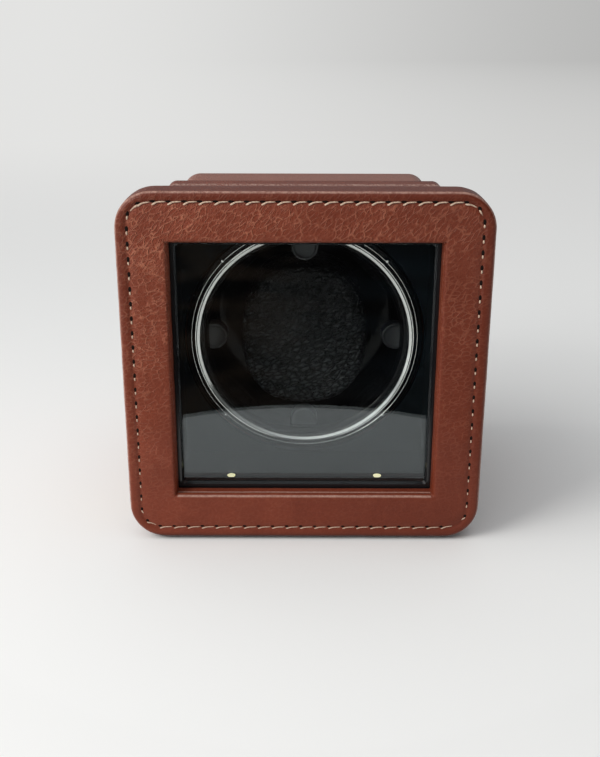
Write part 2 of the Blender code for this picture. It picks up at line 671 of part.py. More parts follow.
def make_lamps(liner, materials):
    """Two small lamp lenses let into the lining's floor."""
    low = FIT - LINER_HALF
    top = LAMP_PROUD - LINER_INNER_HALF
    lens = turned("lamp_lens", [
        (0, low), (LAMP_R, low), (LAMP_R, top - LAMP_PROUD), (LAMP_R / 2, top), (0, top),
    ], SMALL_STEPS, (0, 0, 1))
    hole_r = LAMP_R + FIT
    for label, side in (("left", -1), ("right", 1)):
        place = AXIS + Vector((side * LAMP_OFFSET_X, row_y(CASE_FRONT + LAMP_SETBACK), 0))
        make_object(f"lamp_lens_{label}", lens, place, materials["lamp"])
        hole = turned(f"lamp_hole_{label}", [
            (0, -CASE_HALF), (hole_r, -CASE_HALF), (hole_r, top + LAMP_R), (0, top + LAMP_R),
        ], SMALL_STEPS, (0, 0, 1))
        shape_with(liner, "DIFFERENCE", [hole], place)


def cup_hollow(seat_back):
    """The cup's inside: a turned space whose wall has a flat at each diagonal, sloped in from the mouth."""
    turned_space = turned_y("cup_hollow", [
        (0, seat_back - FIT), (RING_INNER_R, seat_back - FIT), (RING_INNER_R, seat_back),
        (CUP_R, seat_back + CONE_LENGTH), (CUP_R, CUP_FLOOR_FRONT - CUP_FLOOR_CORNER),
        (CUP_R - CUP_FLOOR_CORNER, CUP_FLOOR_FRONT), (0, CUP_FLOOR_FRONT),
    ], ROUND_STEPS)
    mouth_reach = RING_INNER_R - FLAT_MOUTH_INSET
    reach = CUP_R - FLAT_INSET
    lip_back = seat_back + FLAT_LIP
    sections = []
    for half, depth in ((mouth_reach, seat_back - CUP_FLOOR), (mouth_reach, lip_back),
                        (reach, lip_back + FLAT_SLOPE_LENGTH), (reach, CUP_FLOOR_FRONT + CUP_FLOOR)):
        tip = half * math.sqrt(2)
        corners = ((tip, 0), (0, tip), (-tip, 0), (0, -tip))
        sections.append([Vector((x, row_y(depth), z)) for x, z in corners])
    hollow = helper(turned_space, AXIS)
    shape_with(hollow, "INTERSECT", [joined_sections("four_flats", sections, False)])
    return hollow


def make_drum(materials):
    """The turned cup with its flange and hollow, and the chrome ring in the flange's rebate."""
    flange_back = DRUM_FRONT + FLANGE_THICKNESS
    seat_back = DRUM_FRONT + RING_SEAT_DEPTH
    neck_back = DRUM_FRONT + NECK_LENGTH
    body_r = CUP_R + CUP_WALL
    cup = make_object("drum_cup", turned_y("drum_cup", [
        (FLANGE_R - FLANGE_CHAMFER, DRUM_FRONT), (FLANGE_R, DRUM_FRONT + FLANGE_CHAMFER),
        (FLANGE_R, flange_back), (NECK_R, flange_back), (NECK_R, neck_back),
        (body_r, neck_back + NECK_SLOPE), (body_r, CUP_BACK), (SHAFT_R + FIT, CUP_BACK),
        (SHAFT_R + FIT, seat_back), (RING_OUTER_R + FIT, seat_back), (RING_OUTER_R + FIT, DRUM_FRONT),
    ], ROUND_STEPS), AXIS, materials["gloss_black"])
    add_boolean(cup, "DIFFERENCE", cup_hollow(seat_back))
    ring_back = seat_back - FIT
    ring_front = DRUM_FRONT - RING_PROUD
    round_r = RING_WIDTH / 2
    profile = []
    for step in range(RING_ARCH_STEPS + 1):
        turn = step / RING_ARCH_STEPS * math.pi
        profile.append((RING_OUTER_R - round_r + round_r * math.cos(turn),
                        ring_front + round_r - round_r * math.sin(turn)))
    profile += [(RING_INNER_R, ring_back), (RING_OUTER_R, ring_back)]
    ring = make_object("chrome_ring", turned_y("chrome_ring", profile, ROUND_STEPS), AXIS,
                       materials["chrome"])
    return cup, ring


def make_grips(cup, materials):
    """Four rubber grips in half-round pockets of the cup's wall, which hold the cushion."""
    front = DRUM_FRONT + GRIP_SETBACK
    back = front + GRIP_LENGTH
    grip = turned_y("cushion_grip", [
        (0, front), (GRIP_R - GRIP_CHAMFER, front), (GRIP_R, front + GRIP_CHAMFER), (GRIP_R, back), (0, back),
    ], MEDIUM_STEPS)
    items = []
    for index, label in enumerate(("right", "top", "left", "bottom")):
        turn = index * math.pi / 2
        place = AXIS + GRIP_CENTRE_R * Vector((math.cos(turn), 0, math.sin(turn)))
        items.append(make_object(f"cushion_grip_{label}", grip, place, materials["rubber"]))
        shape_with(cup, "DIFFERENCE", [prism(
            f"grip_pocket_{label}", circle(GRIP_R + FIT, MEDIUM_STEPS), front - FIT, back + FIT)], place)
    return items


def make_bezel_pins(cup, materials):
    """Four bright pins on the flange's diagonals."""
    head_front = DRUM_FRONT - FIT - BEZEL_PIN_R / 2
    shank_back = DRUM_FRONT + BEZEL_PIN_SHANK
    pin = turned_y("bezel_pin", [
        (0, head_front), (BEZEL_PIN_R / 2, head_front), (BEZEL_PIN_R, DRUM_FRONT - FIT),
        (BEZEL_PIN_SHANK_R, DRUM_FRONT - FIT), (BEZEL_PIN_SHANK_R, shank_back), (0, shank_back),
    ], SMALL_STEPS)
    items = []
    pin_circle_r = (FLANGE_R + RING_OUTER_R + FIT) / 2
    for index in range(4):
        turn = (index + 0.5) * math.pi / 2
        place = AXIS + pin_circle_r * Vector((math.cos(turn), 0, math.sin(turn)))
        items.append(make_object(f"bezel_pin_{index + 1}", pin, place, materials["chrome"]))
        shape_with(cup, "DIFFERENCE", [prism(
            f"bezel_pin_hole_{index + 1}", circle(BEZEL_PIN_SHANK_R + FIT / 2, SMALL_STEPS),
            DRUM_FRONT - FIT, shank_back + FIT)], place)
    return items


def cushion_outline(shrink, depth):
    """An oval between an ellipse and a rectangle, drawn in by shrink."""
    points = []
    for step in range(CUSHION_STEPS):
        turn = 2 * math.pi * step / CUSHION_STEPS
        across, up = math.cos(turn), math.sin(turn)
        x = math.copysign(abs(across) ** (2 / CUSHION_POWER), across) * (CUSHION_HALF_WIDTH - shrink)
        z = math.copysign(abs(up) ** (2 / CUSHION_POWER), up) * (CUSHION_HALF_HEIGHT - shrink)
        points.append(Vector((x, row_y(depth), z)))
    return points


def make_cushion(materials):
    """A padded oval cushion: crowned front and back, full edges and sides drawn in between them."""
    front = DRUM_FRONT + CUSHION_SETBACK
    back = CUP_FLOOR_FRONT - SHAFT_HEAD - 3 * FIT
    half = (back - front) / 2
    edge_depth = CUSHION_CROWN + CUSHION_EDGE_R
    face = []
    for step in range(1, FILLET_STEPS + 1):
        reach = step / (FILLET_STEPS + 1)
        face.append((CUSHION_EDGE_R + (CUSHION_HALF_WIDTH - CUSHION_EDGE_R) * (1 - reach),
                     CUSHION_CROWN * reach ** 2))
    for step in range(FILLET_STEPS + 1):
        turn = step / FILLET_STEPS * math.pi / 2
        face.append((CUSHION_EDGE_R * (1 - math.sin(turn)), edge_depth - CUSHION_EDGE_R * math.cos(turn)))
    face.append((CUSHION_WAIST * math.sin(math.pi / 4), (edge_depth + half) / 2))
    sections = [cushion_outline(shrink, front + depth) for shrink, depth in face]
    sections.append(cushion_outline(CUSHION_WAIST, front + half))
    sections += [cushion_outline(shrink, back - depth) for shrink, depth in reversed(face)]
    return make_object("watch_cushion", joined_sections("watch_cushion", sections, False), AXIS,
                       materials["black_leather"])


def gear_outline(teeth, first_tooth):
    """Involute teeth, the first one centred on the angle first_tooth."""
    pitch_r = teeth * GEAR_MODULE / 2
    base_r = pitch_r * math.cos(PRESSURE_ANGLE)
    tip_r = pitch_r + GEAR_MODULE
    root_r = pitch_r - DEDENDUM_MODULES * GEAR_MODULE
    start_r = max(base_r, root_r)

    def spread(radius):
        """The involute's polar angle at a radius."""
        pressure = math.acos(min(1, base_r / radius))
        return math.tan(pressure) - pressure

    half_tooth = (math.pi * GEAR_MODULE / 2 - BACKLASH / 2) / pitch_r / 2
    flank = [(root_r, half_tooth + spread(pitch_r))] if root_r < base_r else []
    for step in range(FLANK_STEPS + 1):
        radius = start_r + (tip_r - start_r) * step / FLANK_STEPS
        flank.append((radius, half_tooth + spread(pitch_r) - spread(radius)))
    outline = []
    for tooth in range(teeth):
        middle = first_tooth + 2 * math.pi * tooth / teeth
        for radius, away in flank:
            outline.append((radius * math.cos(middle - away), radius * math.sin(middle - away)))
        for radius, away in reversed(flank):
            outline.append((radius * math.cos(middle + away), radius * math.sin(middle + away)))
    return outline


def make_gears(materials):
    """The drum's gear and the motor's pinion, in mesh where the line of centres crosses."""
    gear = make_object("drum_gear", prism("drum_gear", gear_outline(DRUM_TEETH, PINION_ANGLE),
                                          GEAR_FRONT, GEAR_BACK), AXIS, materials["white_plastic"])
    hub_back = GEAR_BACK + GEAR_HUB_LENGTH
    hub = prism("drum_gear_hub", circle(GEAR_HUB_R, MEDIUM_STEPS), GEAR_BACK - GEAR_THICKNESS / 2, hub_back)
    bore = prism("drum_gear_bore", circle(SHAFT_R + FIT, MEDIUM_STEPS), GEAR_FRONT - FIT, hub_back + FIT)
    web_outer = (DRUM_TEETH / 2 - DEDENDUM_MODULES) * GEAR_MODULE - GEAR_RIM
    web_middle = (web_outer + GEAR_HUB_R) / 2
    hole_r = min((web_outer - GEAR_HUB_R) / 2 - GEAR_WEB_MARGIN,
                 web_middle * math.sin(math.pi / GEAR_WEB_HOLES) - GEAR_SPOKE / 2)
    holes = []
    for index in range(GEAR_WEB_HOLES):
        turn = 2 * math.pi * index / GEAR_WEB_HOLES
        centre = (web_middle * math.cos(turn), web_middle * math.sin(turn))
        holes.append(prism(f"gear_web_hole_{index + 1}", circle(hole_r, SMALL_STEPS, centre),
                           GEAR_FRONT - FIT, GEAR_BACK + FIT))
    shape_with(gear, "UNION", [hub])
    shape_with(gear, "DIFFERENCE", [bore] + holes)

    first_tooth = PINION_ANGLE + math.pi + math.pi / PINION_TEETH
    pinion = make_object("drive_pinion", prism(
        "drive_pinion", gear_outline(PINION_TEETH, first_tooth), GEAR_FRONT, GEAR_BACK),
        PINION_AXIS, materials["brass"])
    inside = GEAR_BACK - GEAR_THICKNESS / 2
    pinion_hub_back = GEAR_BACK + PINION_HUB_LENGTH
    shaft_back = GEARBOX_FRONT + GEARBOX_THICKNESS / 2
    shape_with(pinion, "UNION", [turned_y("drive_pinion_shaft", [
        (0, inside), (PINION_HUB_R, inside), (PINION_HUB_R, pinion_hub_back),
        (PINION_SHAFT_R, pinion_hub_back), (PINION_SHAFT_R, shaft_back), (0, shaft_back),
    ], SMALL_STEPS)])
    return gear, pinion


def make_shaft(materials):
    """The drum's shaft, with its head inside the cup and the clip that holds it behind the bush."""
    head_back = CUP_FLOOR_FRONT - FIT
    clip_back = CLIP_FRONT + CLIP_THICKNESS
    groove_r = SHAFT_R - CLIP_GROOVE
    end = clip_back + FIT + SHAFT_END
    shaft = make_object("drum_shaft", turned_y("drum_shaft", [
        (0, head_back - SHAFT_HEAD), (SHAFT_HEAD_R, head_back - SHAFT_HEAD), (SHAFT_HEAD_R, head_back),
        (SHAFT_R, head_back), (SHAFT_R, CLIP_FRONT - FIT), (groove_r, CLIP_FRONT - FIT),
        (groove_r, clip_back + FIT), (SHAFT_R, clip_back + FIT), (SHAFT_R, end), (0, end),
    ], MEDIUM_STEPS), AXIS, materials["steel"])
    inner_r = groove_r + RUNNING_FIT
    start = -math.pi / 2 + CLIP_MOUTH / 2
    sweep = 2 * math.pi - CLIP_MOUTH
    turns = [start + sweep * step / MEDIUM_STEPS for step in range(MEDIUM_STEPS + 1)]
    outline = [(CLIP_R * math.cos(turn), CLIP_R * math.sin(turn)) for turn in turns]
    outline += [(inner_r * math.cos(turn), inner_r * math.sin(turn)) for turn in reversed(turns)]
    clip = make_object("shaft_clip", prism("shaft_clip", outline, CLIP_FRONT, clip_back), AXIS,
                       materials["steel"])
    return shaft, clip


def make_drive_mount(materials):
    """The plate across the rear case, the shaft's bush in its boss, and the gear motor behind it."""
    sections = [rounded_square(BAY_HALF - FIT, INNER_CORNER_R, depth) for depth in (PLATE_FRONT, PLATE_BACK)]
    plate = make_object("mechanism_plate", joined_sections("mechanism_plate", sections, False), AXIS,
                        materials["black_plastic"])
    bush_r = SHAFT_R + RUNNING_FIT + BUSH_WALL
    boss_back = PLATE_BACK + PLATE_BOSS
    boss = prism("plate_boss", circle(PLATE_BOSS_R, MEDIUM_STEPS), PLATE_FRONT + FIT, boss_back)
    bush_hole = prism("bush_hole", circle(bush_r + FIT, MEDIUM_STEPS), PLATE_FRONT - FIT, boss_back + FIT)
    shape_with(plate, "UNION", [boss])
    shape_with(plate, "DIFFERENCE", [bush_hole])
    nose_hole = prism("nose_hole", circle(GEARBOX_NOSE_R + FIT, MEDIUM_STEPS),
                      PLATE_FRONT - FIT, PLATE_BACK + FIT)
    shape_with(plate, "DIFFERENCE", [nose_hole], PINION_AXIS)

    bore_r = SHAFT_R + RUNNING_FIT
    make_object("shaft_bush", turned_y("shaft_bush", [
        (bore_r, BUSH_FRONT), (BUSH_FLANGE_R, BUSH_FRONT), (BUSH_FLANGE_R, BUSH_FRONT + BUSH_FLANGE),
        (bush_r, BUSH_FRONT + BUSH_FLANGE), (bush_r, BUSH_BACK), (bore_r, BUSH_BACK),
    ], MEDIUM_STEPS), AXIS, materials["brass"])

    gearbox_back = GEARBOX_FRONT + GEARBOX_THICKNESS
    sections = [rounded_square(GEARBOX_SIZE / 2, GEARBOX_CORNER_R, depth)
                for depth in (GEARBOX_FRONT, gearbox_back)]
    gearbox = make_object("gearbox_case", joined_sections("gearbox_case", sections, False), PINION_AXIS,
                          materials["black_plastic"])
    nose = prism("gearbox_nose", circle(GEARBOX_NOSE_R, MEDIUM_STEPS), GEARBOX_FRONT - GEARBOX_NOSE,
                 GEARBOX_FRONT + FIT)
    shaft_hole = prism("gearbox_bore", circle(PINION_SHAFT_R + RUNNING_FIT, SMALL_STEPS),
                       GEARBOX_FRONT - GEARBOX_NOSE - FIT, GEARBOX_FRONT + GEARBOX_THICKNESS / 2 + FIT)
    shape_with(gearbox, "UNION", [nose])
    shape_with(gearbox, "DIFFERENCE", [shaft_hole])
    motor_back = MOTOR_FRONT + MOTOR_LENGTH
    make_object("motor_can", turned_y("motor_can", [
        (0, MOTOR_FRONT), (MOTOR_R, MOTOR_FRONT), (MOTOR_R, motor_back - MOTOR_EDGE),
        (MOTOR_R - MOTOR_EDGE, motor_back), (0, motor_back),
    ], MEDIUM_STEPS), PINION_AXIS, materials["steel"])


def make_rear_panel(rear, materials):
    """The plate that closes the back, and its four screws in the case's ledge."""
    sections = [rounded_square(PANEL_HALF, INNER_CORNER_R, depth) for depth in (PANEL_FRONT, PANEL_BACK)]
    panel = make_object("rear_panel", joined_sections("rear_panel", sections, False), AXIS,
                        materials["black_plastic"])
    hole_sizes = (INLET_BARREL_R, BUTTON_R, KNOB_SHAFT_R, KNOB_SHAFT_R)
    for index, (place, radius) in enumerate(zip(CONTROL_AXES, hole_sizes)):
        hole = prism(f"control_hole_{index + 1}", circle(radius + FIT, MEDIUM_STEPS),
                     PANEL_FRONT - FIT, PANEL_BACK + FIT)
        shape_with(panel, "DIFFERENCE", [hole], place)
    head_front = PANEL_BACK + FIT
    head_back = head_front + SCREW_HEAD
    tip = LEDGE_BACK - LEDGE_THICKNESS + FIT
    screw = turned_y("rear_screw", [
        (0, tip), (SCREW_SHANK_R, tip), (SCREW_SHANK_R, head_front), (SCREW_HEAD_R, head_front),
        (SCREW_HEAD_R, head_back - SCREW_HEAD / 2), (SCREW_HEAD_R - SCREW_HEAD / 2, head_back),
        (0, head_back),
    ], SMALL_STEPS)
    reach = PANEL_HALF - SCREW_INSET
    for index, (side_x, side_z) in enumerate(((-1, 1), (1, 1), (1, -1), (-1, -1))):
        place = AXIS + Vector((side_x * reach, 0, side_z * reach))
        make_object(f"rear_screw_{index + 1}", screw, place, materials["steel"])
        hole = prism(f"rear_screw_hole_{index + 1}", circle(SCREW_SHANK_R + FIT, SMALL_STEPS),
                     tip - LEDGE_THICKNESS, PANEL_BACK + FIT)
        shape_with(panel, "DIFFERENCE", [hole], place)
        shape_with(rear, "DIFFERENCE", [hole], place)


def make_board(materials):
    """The circuit board with the bodies of its two selectors and its push switch."""
    front = BOARD_BACK - BOARD_THICKNESS
    width = CONTROL_X[-1] - CONTROL_X[0] + 2 * BOARD_END
    place = AXIS + Vector((0, 0, CONTROL_RISE))
    board = make_object("circuit_board", prism(
        "circuit_board", rectangle(width, BOARD_HEIGHT), front, BOARD_BACK), place, materials["board"])
    inside = BOARD_BACK - BOARD_THICKNESS / 2
    switch = prism("switch_body", rectangle(SWITCH_BODY, SWITCH_BODY, (CONTROL_X[1], 0)), inside,
                   BOARD_BACK + SWITCH_BODY_LENGTH)
    selectors = [prism(f"selector_body_{index}", rectangle(CONTROL_BODY, CONTROL_BODY, (CONTROL_X[index], 0)),
                       inside, BOARD_BACK + CONTROL_BODY_LENGTH) for index in (2, 3)]
    shape_with(board, "UNION", [switch] + selectors)


def make_inlet(materials):
    """The low-voltage power socket: a moulded block, its barrel through the panel and its centre contact."""
    front = BOARD_BACK + FIT
    block_back = PANEL_FRONT - FIT
    barrel_back = PANEL_BACK + INLET_PROUD
    inlet = make_object("power_inlet", prism(
        "power_inlet", rectangle(CONTROL_BODY, CONTROL_BODY), front, block_back), CONTROL_AXES[0],
        materials["black_plastic"])
    bore_front = barrel_back - INLET_BORE_DEPTH
    shape_with(inlet, "UNION", [prism("inlet_barrel", circle(INLET_BARREL_R, MEDIUM_STEPS),
                                      block_back - FIT, barrel_back)])
    shape_with(inlet, "DIFFERENCE", [prism("inlet_bore", circle(INLET_BORE_R, MEDIUM_STEPS),
                                           bore_front, barrel_back + FIT)])
    shape_with(inlet, "UNION", [prism("inlet_contact", circle(INLET_CONTACT_R, SMALL_STEPS),
                                      bore_front - FIT, barrel_back - INLET_CONTACT_R)])


def make_knobs(materials):
    """Two fluted selector knobs, with a pointer slot, on shafts through the panel."""
    shaft_front = BOARD_BACK + CONTROL_BODY_LENGTH + FIT
    skirt = PANEL_BACK + FIT
    top = skirt + KNOB_HEIGHT
    steps = 2 * KNOB_FLUTES
    outline = []
    for step in range(2 * steps):
        turn = math.pi * step / steps
        radius = KNOB_R - KNOB_FLUTE_DEPTH * (1 - math.cos(KNOB_FLUTES * turn)) / 2
        outline.append((radius * math.cos(turn), radius * math.sin(turn)))
    inset = 1 - KNOB_CHAMFER / KNOB_R
    sections = []
    for scale, depth in ((1, skirt), (1, top - KNOB_CHAMFER), (inset, top)):
        sections.append([Vector((x * scale, row_y(depth), z * scale)) for x, z in outline])
    knobs = []
    for name, place in zip(("turns_knob", "direction_knob"), CONTROL_AXES[2:]):
        knob = make_object(name, joined_sections(name, sections, False), place, materials["black_plastic"])
        shape_with(knob, "UNION", [prism(f"{name}_shaft", circle(KNOB_SHAFT_R, MEDIUM_STEPS),
                                         shaft_front, skirt + KNOB_HEIGHT / 2)])
        pointer = rectangle(POINTER_WIDTH, KNOB_R, (0, KNOB_R / 2))
        shape_with(knob, "DIFFERENCE", [prism(f"{name}_pointer", pointer, top - POINTER_DEPTH, top + FIT)])
        knobs.append(knob)
    return knobs


def make_button(materials):
    """The lamp's push button: its flange stays behind the panel, and its stem reaches the switch."""
    stem_front = BOARD_BACK + SWITCH_BODY_LENGTH + FIT + BUTTON_TRAVEL
    flange_back = PANEL_FRONT - FIT
    flange_front = flange_back - BUTTON_FLANGE
    cap_back = PANEL_BACK + BUTTON_PROUD
    return make_object("light_button", turned_y("light_button", [
        (0, stem_front), (BUTTON_STEM_R, stem_front), (BUTTON_STEM_R, flange_front),
        (BUTTON_FLANGE_R, flange_front), (BUTTON_FLANGE_R, flange_back), (BUTTON_R, flange_back),
        (BUTTON_R, cap_back - BUTTON_EDGE), (BUTTON_R - BUTTON_EDGE, cap_back), (0, cap_back),
    ], MEDIUM_STEPS), CONTROL_AXES[1], materials["white_plastic"])


def make_winder():
    """Builds every piece and hangs the moving ones on their joints."""
    materials = make_materials()
    frame, bead, pane, backing = make_door(materials)
    liner, baffle = make_interior(materials)
    magnets = make_latch(backing, liner, materials)
    leaves = [make_hinge(label, side, frame, materials) for label, side in (("upper", 1), ("lower", -1))]
    middle, rear = make_cases(materials)
    make_feet(middle, rear, materials)
    make_lamps(liner, materials)
    cup, ring = make_drum(materials)
    grips = make_grips(cup, materials)
    pins = make_bezel_pins(cup, materials)
    cushion = make_cushion(materials)
    gear, pinion = make_gears(materials)
    shaft, clip = make_shaft(materials)
    make_drive_mount(materials)
    make_rear_panel(rear, materials)
    make_board(materials)
    make_inlet(materials)
    make_knobs(materials)
    make_button(materials)

    hang_on(add_pivot("door_pivot", HINGE_AXIS), frame, bead, pane, backing, *magnets, *leaves)
    hang_on(add_pivot("drum_pivot", AXIS), cup, ring, *grips, *pins, gear, shaft, clip, cushion)


clear_scene()
make_winder()
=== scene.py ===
import json
import math

import bmesh
import bpy
from bpy.props import FloatProperty, FloatVectorProperty, IntProperty, PointerProperty
from mathutils import Matrix, Vector, noise
from mathutils.kdtree import KDTree

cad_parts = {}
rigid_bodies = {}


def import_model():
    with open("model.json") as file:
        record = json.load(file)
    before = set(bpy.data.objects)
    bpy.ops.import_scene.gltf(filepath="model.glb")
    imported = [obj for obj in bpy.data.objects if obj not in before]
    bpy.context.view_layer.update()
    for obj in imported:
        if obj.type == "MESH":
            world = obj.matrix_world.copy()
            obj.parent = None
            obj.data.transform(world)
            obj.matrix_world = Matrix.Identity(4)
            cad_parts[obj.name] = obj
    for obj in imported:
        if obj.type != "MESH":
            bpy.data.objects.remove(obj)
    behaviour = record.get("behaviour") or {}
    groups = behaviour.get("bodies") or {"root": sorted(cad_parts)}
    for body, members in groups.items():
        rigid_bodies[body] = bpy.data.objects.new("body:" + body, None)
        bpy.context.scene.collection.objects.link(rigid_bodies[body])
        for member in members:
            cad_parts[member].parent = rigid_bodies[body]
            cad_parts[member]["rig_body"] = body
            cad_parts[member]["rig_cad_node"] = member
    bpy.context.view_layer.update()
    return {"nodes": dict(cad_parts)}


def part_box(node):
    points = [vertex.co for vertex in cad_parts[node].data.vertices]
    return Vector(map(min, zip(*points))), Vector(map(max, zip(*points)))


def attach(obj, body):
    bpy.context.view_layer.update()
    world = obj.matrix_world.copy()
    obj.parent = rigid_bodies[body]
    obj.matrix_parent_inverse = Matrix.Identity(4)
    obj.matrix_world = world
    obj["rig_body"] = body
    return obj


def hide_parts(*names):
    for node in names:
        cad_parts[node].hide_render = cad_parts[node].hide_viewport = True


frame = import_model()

bl_info = {
    "name": "Leather Watch Winder",
    "version": (1, 0, 0),
    "blender": (4, 5, 0),
    "location": "View3D > Sidebar > Winder",
    "description": "Dresses a leather watch winder's frame in leather, glass, chrome and thread",
    "category": "Object",
}

MM = 0.001
FULL_TURN = 2 * math.pi
QUARTER_TURN = math.pi / 2
FINE = 1e-6

DOOR_LOW, DOOR_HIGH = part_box("door_frame")
FRONT = DOOR_LOW.y
FACE_HALF = (DOOR_HIGH.x - DOOR_LOW.x) / 2
MIDDLE = Vector((0, 0, (DOOR_LOW.z + DOOR_HIGH.z) / 2))


# Sizes and colours that a user would change


def length(name, description, millimetres, most=200.0):
    return FloatProperty(
        name=name, description=description, default=millimetres * MM,
        min=0, max=most * MM, precision=5, unit="LENGTH", subtype="DISTANCE",
    )


def colour(name, description, red, green, blue):
    return FloatVectorProperty(
        name=name, description=description, default=(red, green, blue),
        min=0, max=1, size=3, subtype="COLOR",
    )


def share(name, description, default, most=1.0):
    return FloatProperty(name=name, description=description, default=default, min=0, max=most, subtype="FACTOR")


class LeatherSettings(bpy.types.PropertyGroup):
    """The brown leather and its stitching."""

    brown: colour("Brown", "Main colour of the brown leather", 0.198, 0.0385, 0.017)
    # Deep brown is the leather's darker tone, and also the colour of painted shade: to the right, at the sleeve ends
    # and, darkened further, along the bottom edge.
    deep_brown: colour("Deep brown", "Colour of the creases and of the rubbed dark places", 0.088, 0.013, 0.0045)
    # The rubbed colour is a painted highlight: the pale crease lines stand for glints on the crease ridges.
    rubbed: colour("Rubbed", "Pale colour of the creases", 0.44, 0.165, 0.095)
    # This pale colour is used only for painted highlight and painted reflection: the edge line, the sill lines, the
    # middle sleeve's band and the rear sleeve's paler top.
    painted_highlight: colour("Bloom", "Pale colour of the wear on the sleeves", 0.42, 0.25, 0.20)
    roughness: share("Roughness", "Roughness of the finished leather", 0.44)
    cell: length("Grain cell", "Size of one cell of the grain", 2.3, 10)
    corner: length("Face corner", "Corner radius of the door's face", 12, 30)
    edge: length("Edge roll", "Radius at which the leather rolls over the door's edge", 1.8, 5)
    window: length("Window", "Half the width of the window", 44, 60)
    stitch_inset: length("Stitch inset", "From the door's side and bottom edges to the stitch line", 4.15, 10)
    stitch_top: length("Top stitch inset", "From the door's top edge to the stitch line", 3.25, 10)
    stitch_corner: length("Stitch corner", "Corner radius of the stitch line", 6.5, 20)
    stitch_pitch: length("Stitch pitch", "From one needle hole to the next", 4.85, 10)
    valley: length("Stitch valley", "How far the thread pulls the leather in", 0.5, 2)
    thread_radius: length("Thread", "Radius of the thread", 0.235, 1)
    thread: colour("Thread", "Colour of the waxed thread", 0.62, 0.45, 0.33)


class DrumSettings(bpy.types.PropertyGroup):
    """The turning drum and the cushion in it."""

    steps: IntProperty(name="Steps", description="Sides of the turned pieces", default=144, min=24, max=256)
    step_ring: length("Flange step", "Radius of the step round the chrome ring", 40.9, 60)
    flat_reach: length("Flat reach", "From the axis to the flats at the bowl's diagonals", 32.3, 60)
    flat_depth: length("Flat depth", "How far into the bowl the flats run", 12, 60)
    cushion_cell: length("Cushion grain", "Spacing of the crinkles in the black leather", 1.7, 10)
    crinkle: length("Crinkle", "Height of the crinkles in the black leather", 0.52, 2)
    voxel: length("Voxel", "Size of the remesh before the cushion is filled", 1.6, 10)
    pressure: FloatProperty(name="Pressure", description="Pressure that fills the cushion", default=4, min=0, max=20)
    most_swell: length("Most swell", "How far filling may move the cushion's skin", 2.2, 10)


class StageSettings(bpy.types.PropertyGroup):
    """The camera, the lamps, the floor and the backdrop."""

    focal: FloatProperty(name="Focal length", description="The camera's focal length", default=48.57, unit="CAMERA")
    pitch: FloatProperty(
        name="Pitch", description="How far the camera looks down", default=math.radians(19.78), subtype="ANGLE"
    )
    key: FloatProperty(name="Key light", description="Power of the window-like lamp", default=1.5, unit="POWER")
    daylight: FloatProperty(name="Daylight", description="Strength of the soft light over the whole floor", default=1.0)
    sky: share("Sky", "Strength of the soft light from all round", 0.37, 2.0)
    backdrop: colour("Backdrop", "Colour that the camera sees beyond the floor", 0.77, 0.77, 0.76)
    floor: colour("Floor", "Colour of the floor and the backdrop", 0.86, 0.86, 0.85)


# Modelling, as by hand


def alone(piece):
    """Makes a piece the only selected one, and the active one."""
    bpy.ops.object.select_all(action="DESELECT")
    piece.select_set(True)
    bpy.context.view_layer.objects.active = piece


def add(kind, name, **settings):
    """Adds a primitive and names it."""
    bpy.ops.object.select_all(action="DESELECT")
    getattr(bpy.ops.mesh, f"primitive_{kind}_add")(**settings)
    piece = bpy.context.object
    piece.name = piece.data.name = name
    return piece


def edit(mode="FACE"):
    bpy.ops.object.mode_set(mode="EDIT")
    bpy.ops.mesh.select_mode(type=mode)
    bpy.ops.mesh.select_all(action="SELECT")


def leave():
    bpy.ops.object.mode_set(mode="OBJECT")


def pick(piece, kind, test):
    """Selects the faces, edges or vertices of a piece in edit mode that pass a test."""
    bpy.ops.mesh.select_all(action="DESELECT")
    shape = bmesh.from_edit_mesh(piece.data)
    for element in getattr(shape, kind):
        if test(element):
            element.select_set(True)
    shape.select_flush_mode()
    bmesh.update_edit_mesh(piece.data)


def middle_of(element):
    """The middle of an edge or a face."""
    points = [vertex.co for vertex in element.verts]
    return sum(points, Vector()) / len(points)


def settle(piece):
    """Puts a piece's place, turn and size into its mesh, so that its object sits at the origin."""
    alone(piece)
    bpy.ops.object.transform_apply(location=True, rotation=True, scale=True)
    return piece


def apply_modifier(piece, kind, **settings):
    """Adds a modifier and applies it."""
    alone(piece)
    modifier = piece.modifiers.new(kind.title(), kind)
    for key, value in settings.items():
        setattr(modifier, key, value)
    bpy.ops.object.modifier_apply(modifier=modifier.name)


def tidy_mesh(piece, weld=0.002 * MM):
    """Merges doubled points and turns all faces outwards."""
    alone(piece)
    edit("VERT")
    bpy.ops.mesh.remove_doubles(threshold=weld)
    bpy.ops.mesh.select_all(action="SELECT")
    bpy.ops.mesh.normals_make_consistent(inside=False)
    leave()


def smooth(piece, degrees=35):
    alone(piece)
    bpy.ops.object.shade_smooth_by_angle(angle=math.radians(degrees))


def cut(piece, cutters):
    """Takes the cutters out of a piece and removes them."""
    for cutter in cutters:
        apply_modifier(piece, "BOOLEAN", operation="DIFFERENCE", solver="EXACT", object=cutter)
        bpy.data.objects.remove(cutter)


def box_round(name, low, high, margin=0.0):
    """A box primitive round two corners, with a margin."""
    low, high = Vector(low), Vector(high)
    sides = high - low + Vector((margin, margin, margin)) * 2
    return settle(add("cube", name, size=1, location=(low + high) / 2, scale=sides))


def join(pieces, name):
    """Joins pieces into one, under the first one's materials."""
    bpy.ops.object.select_all(action="DESELECT")
    for piece in pieces:
        piece.select_set(True)
    bpy.context.view_layer.objects.active = pieces[0]
    bpy.ops.object.join()
    pieces[0].name = pieces[0].data.name = name
    return pieces[0]


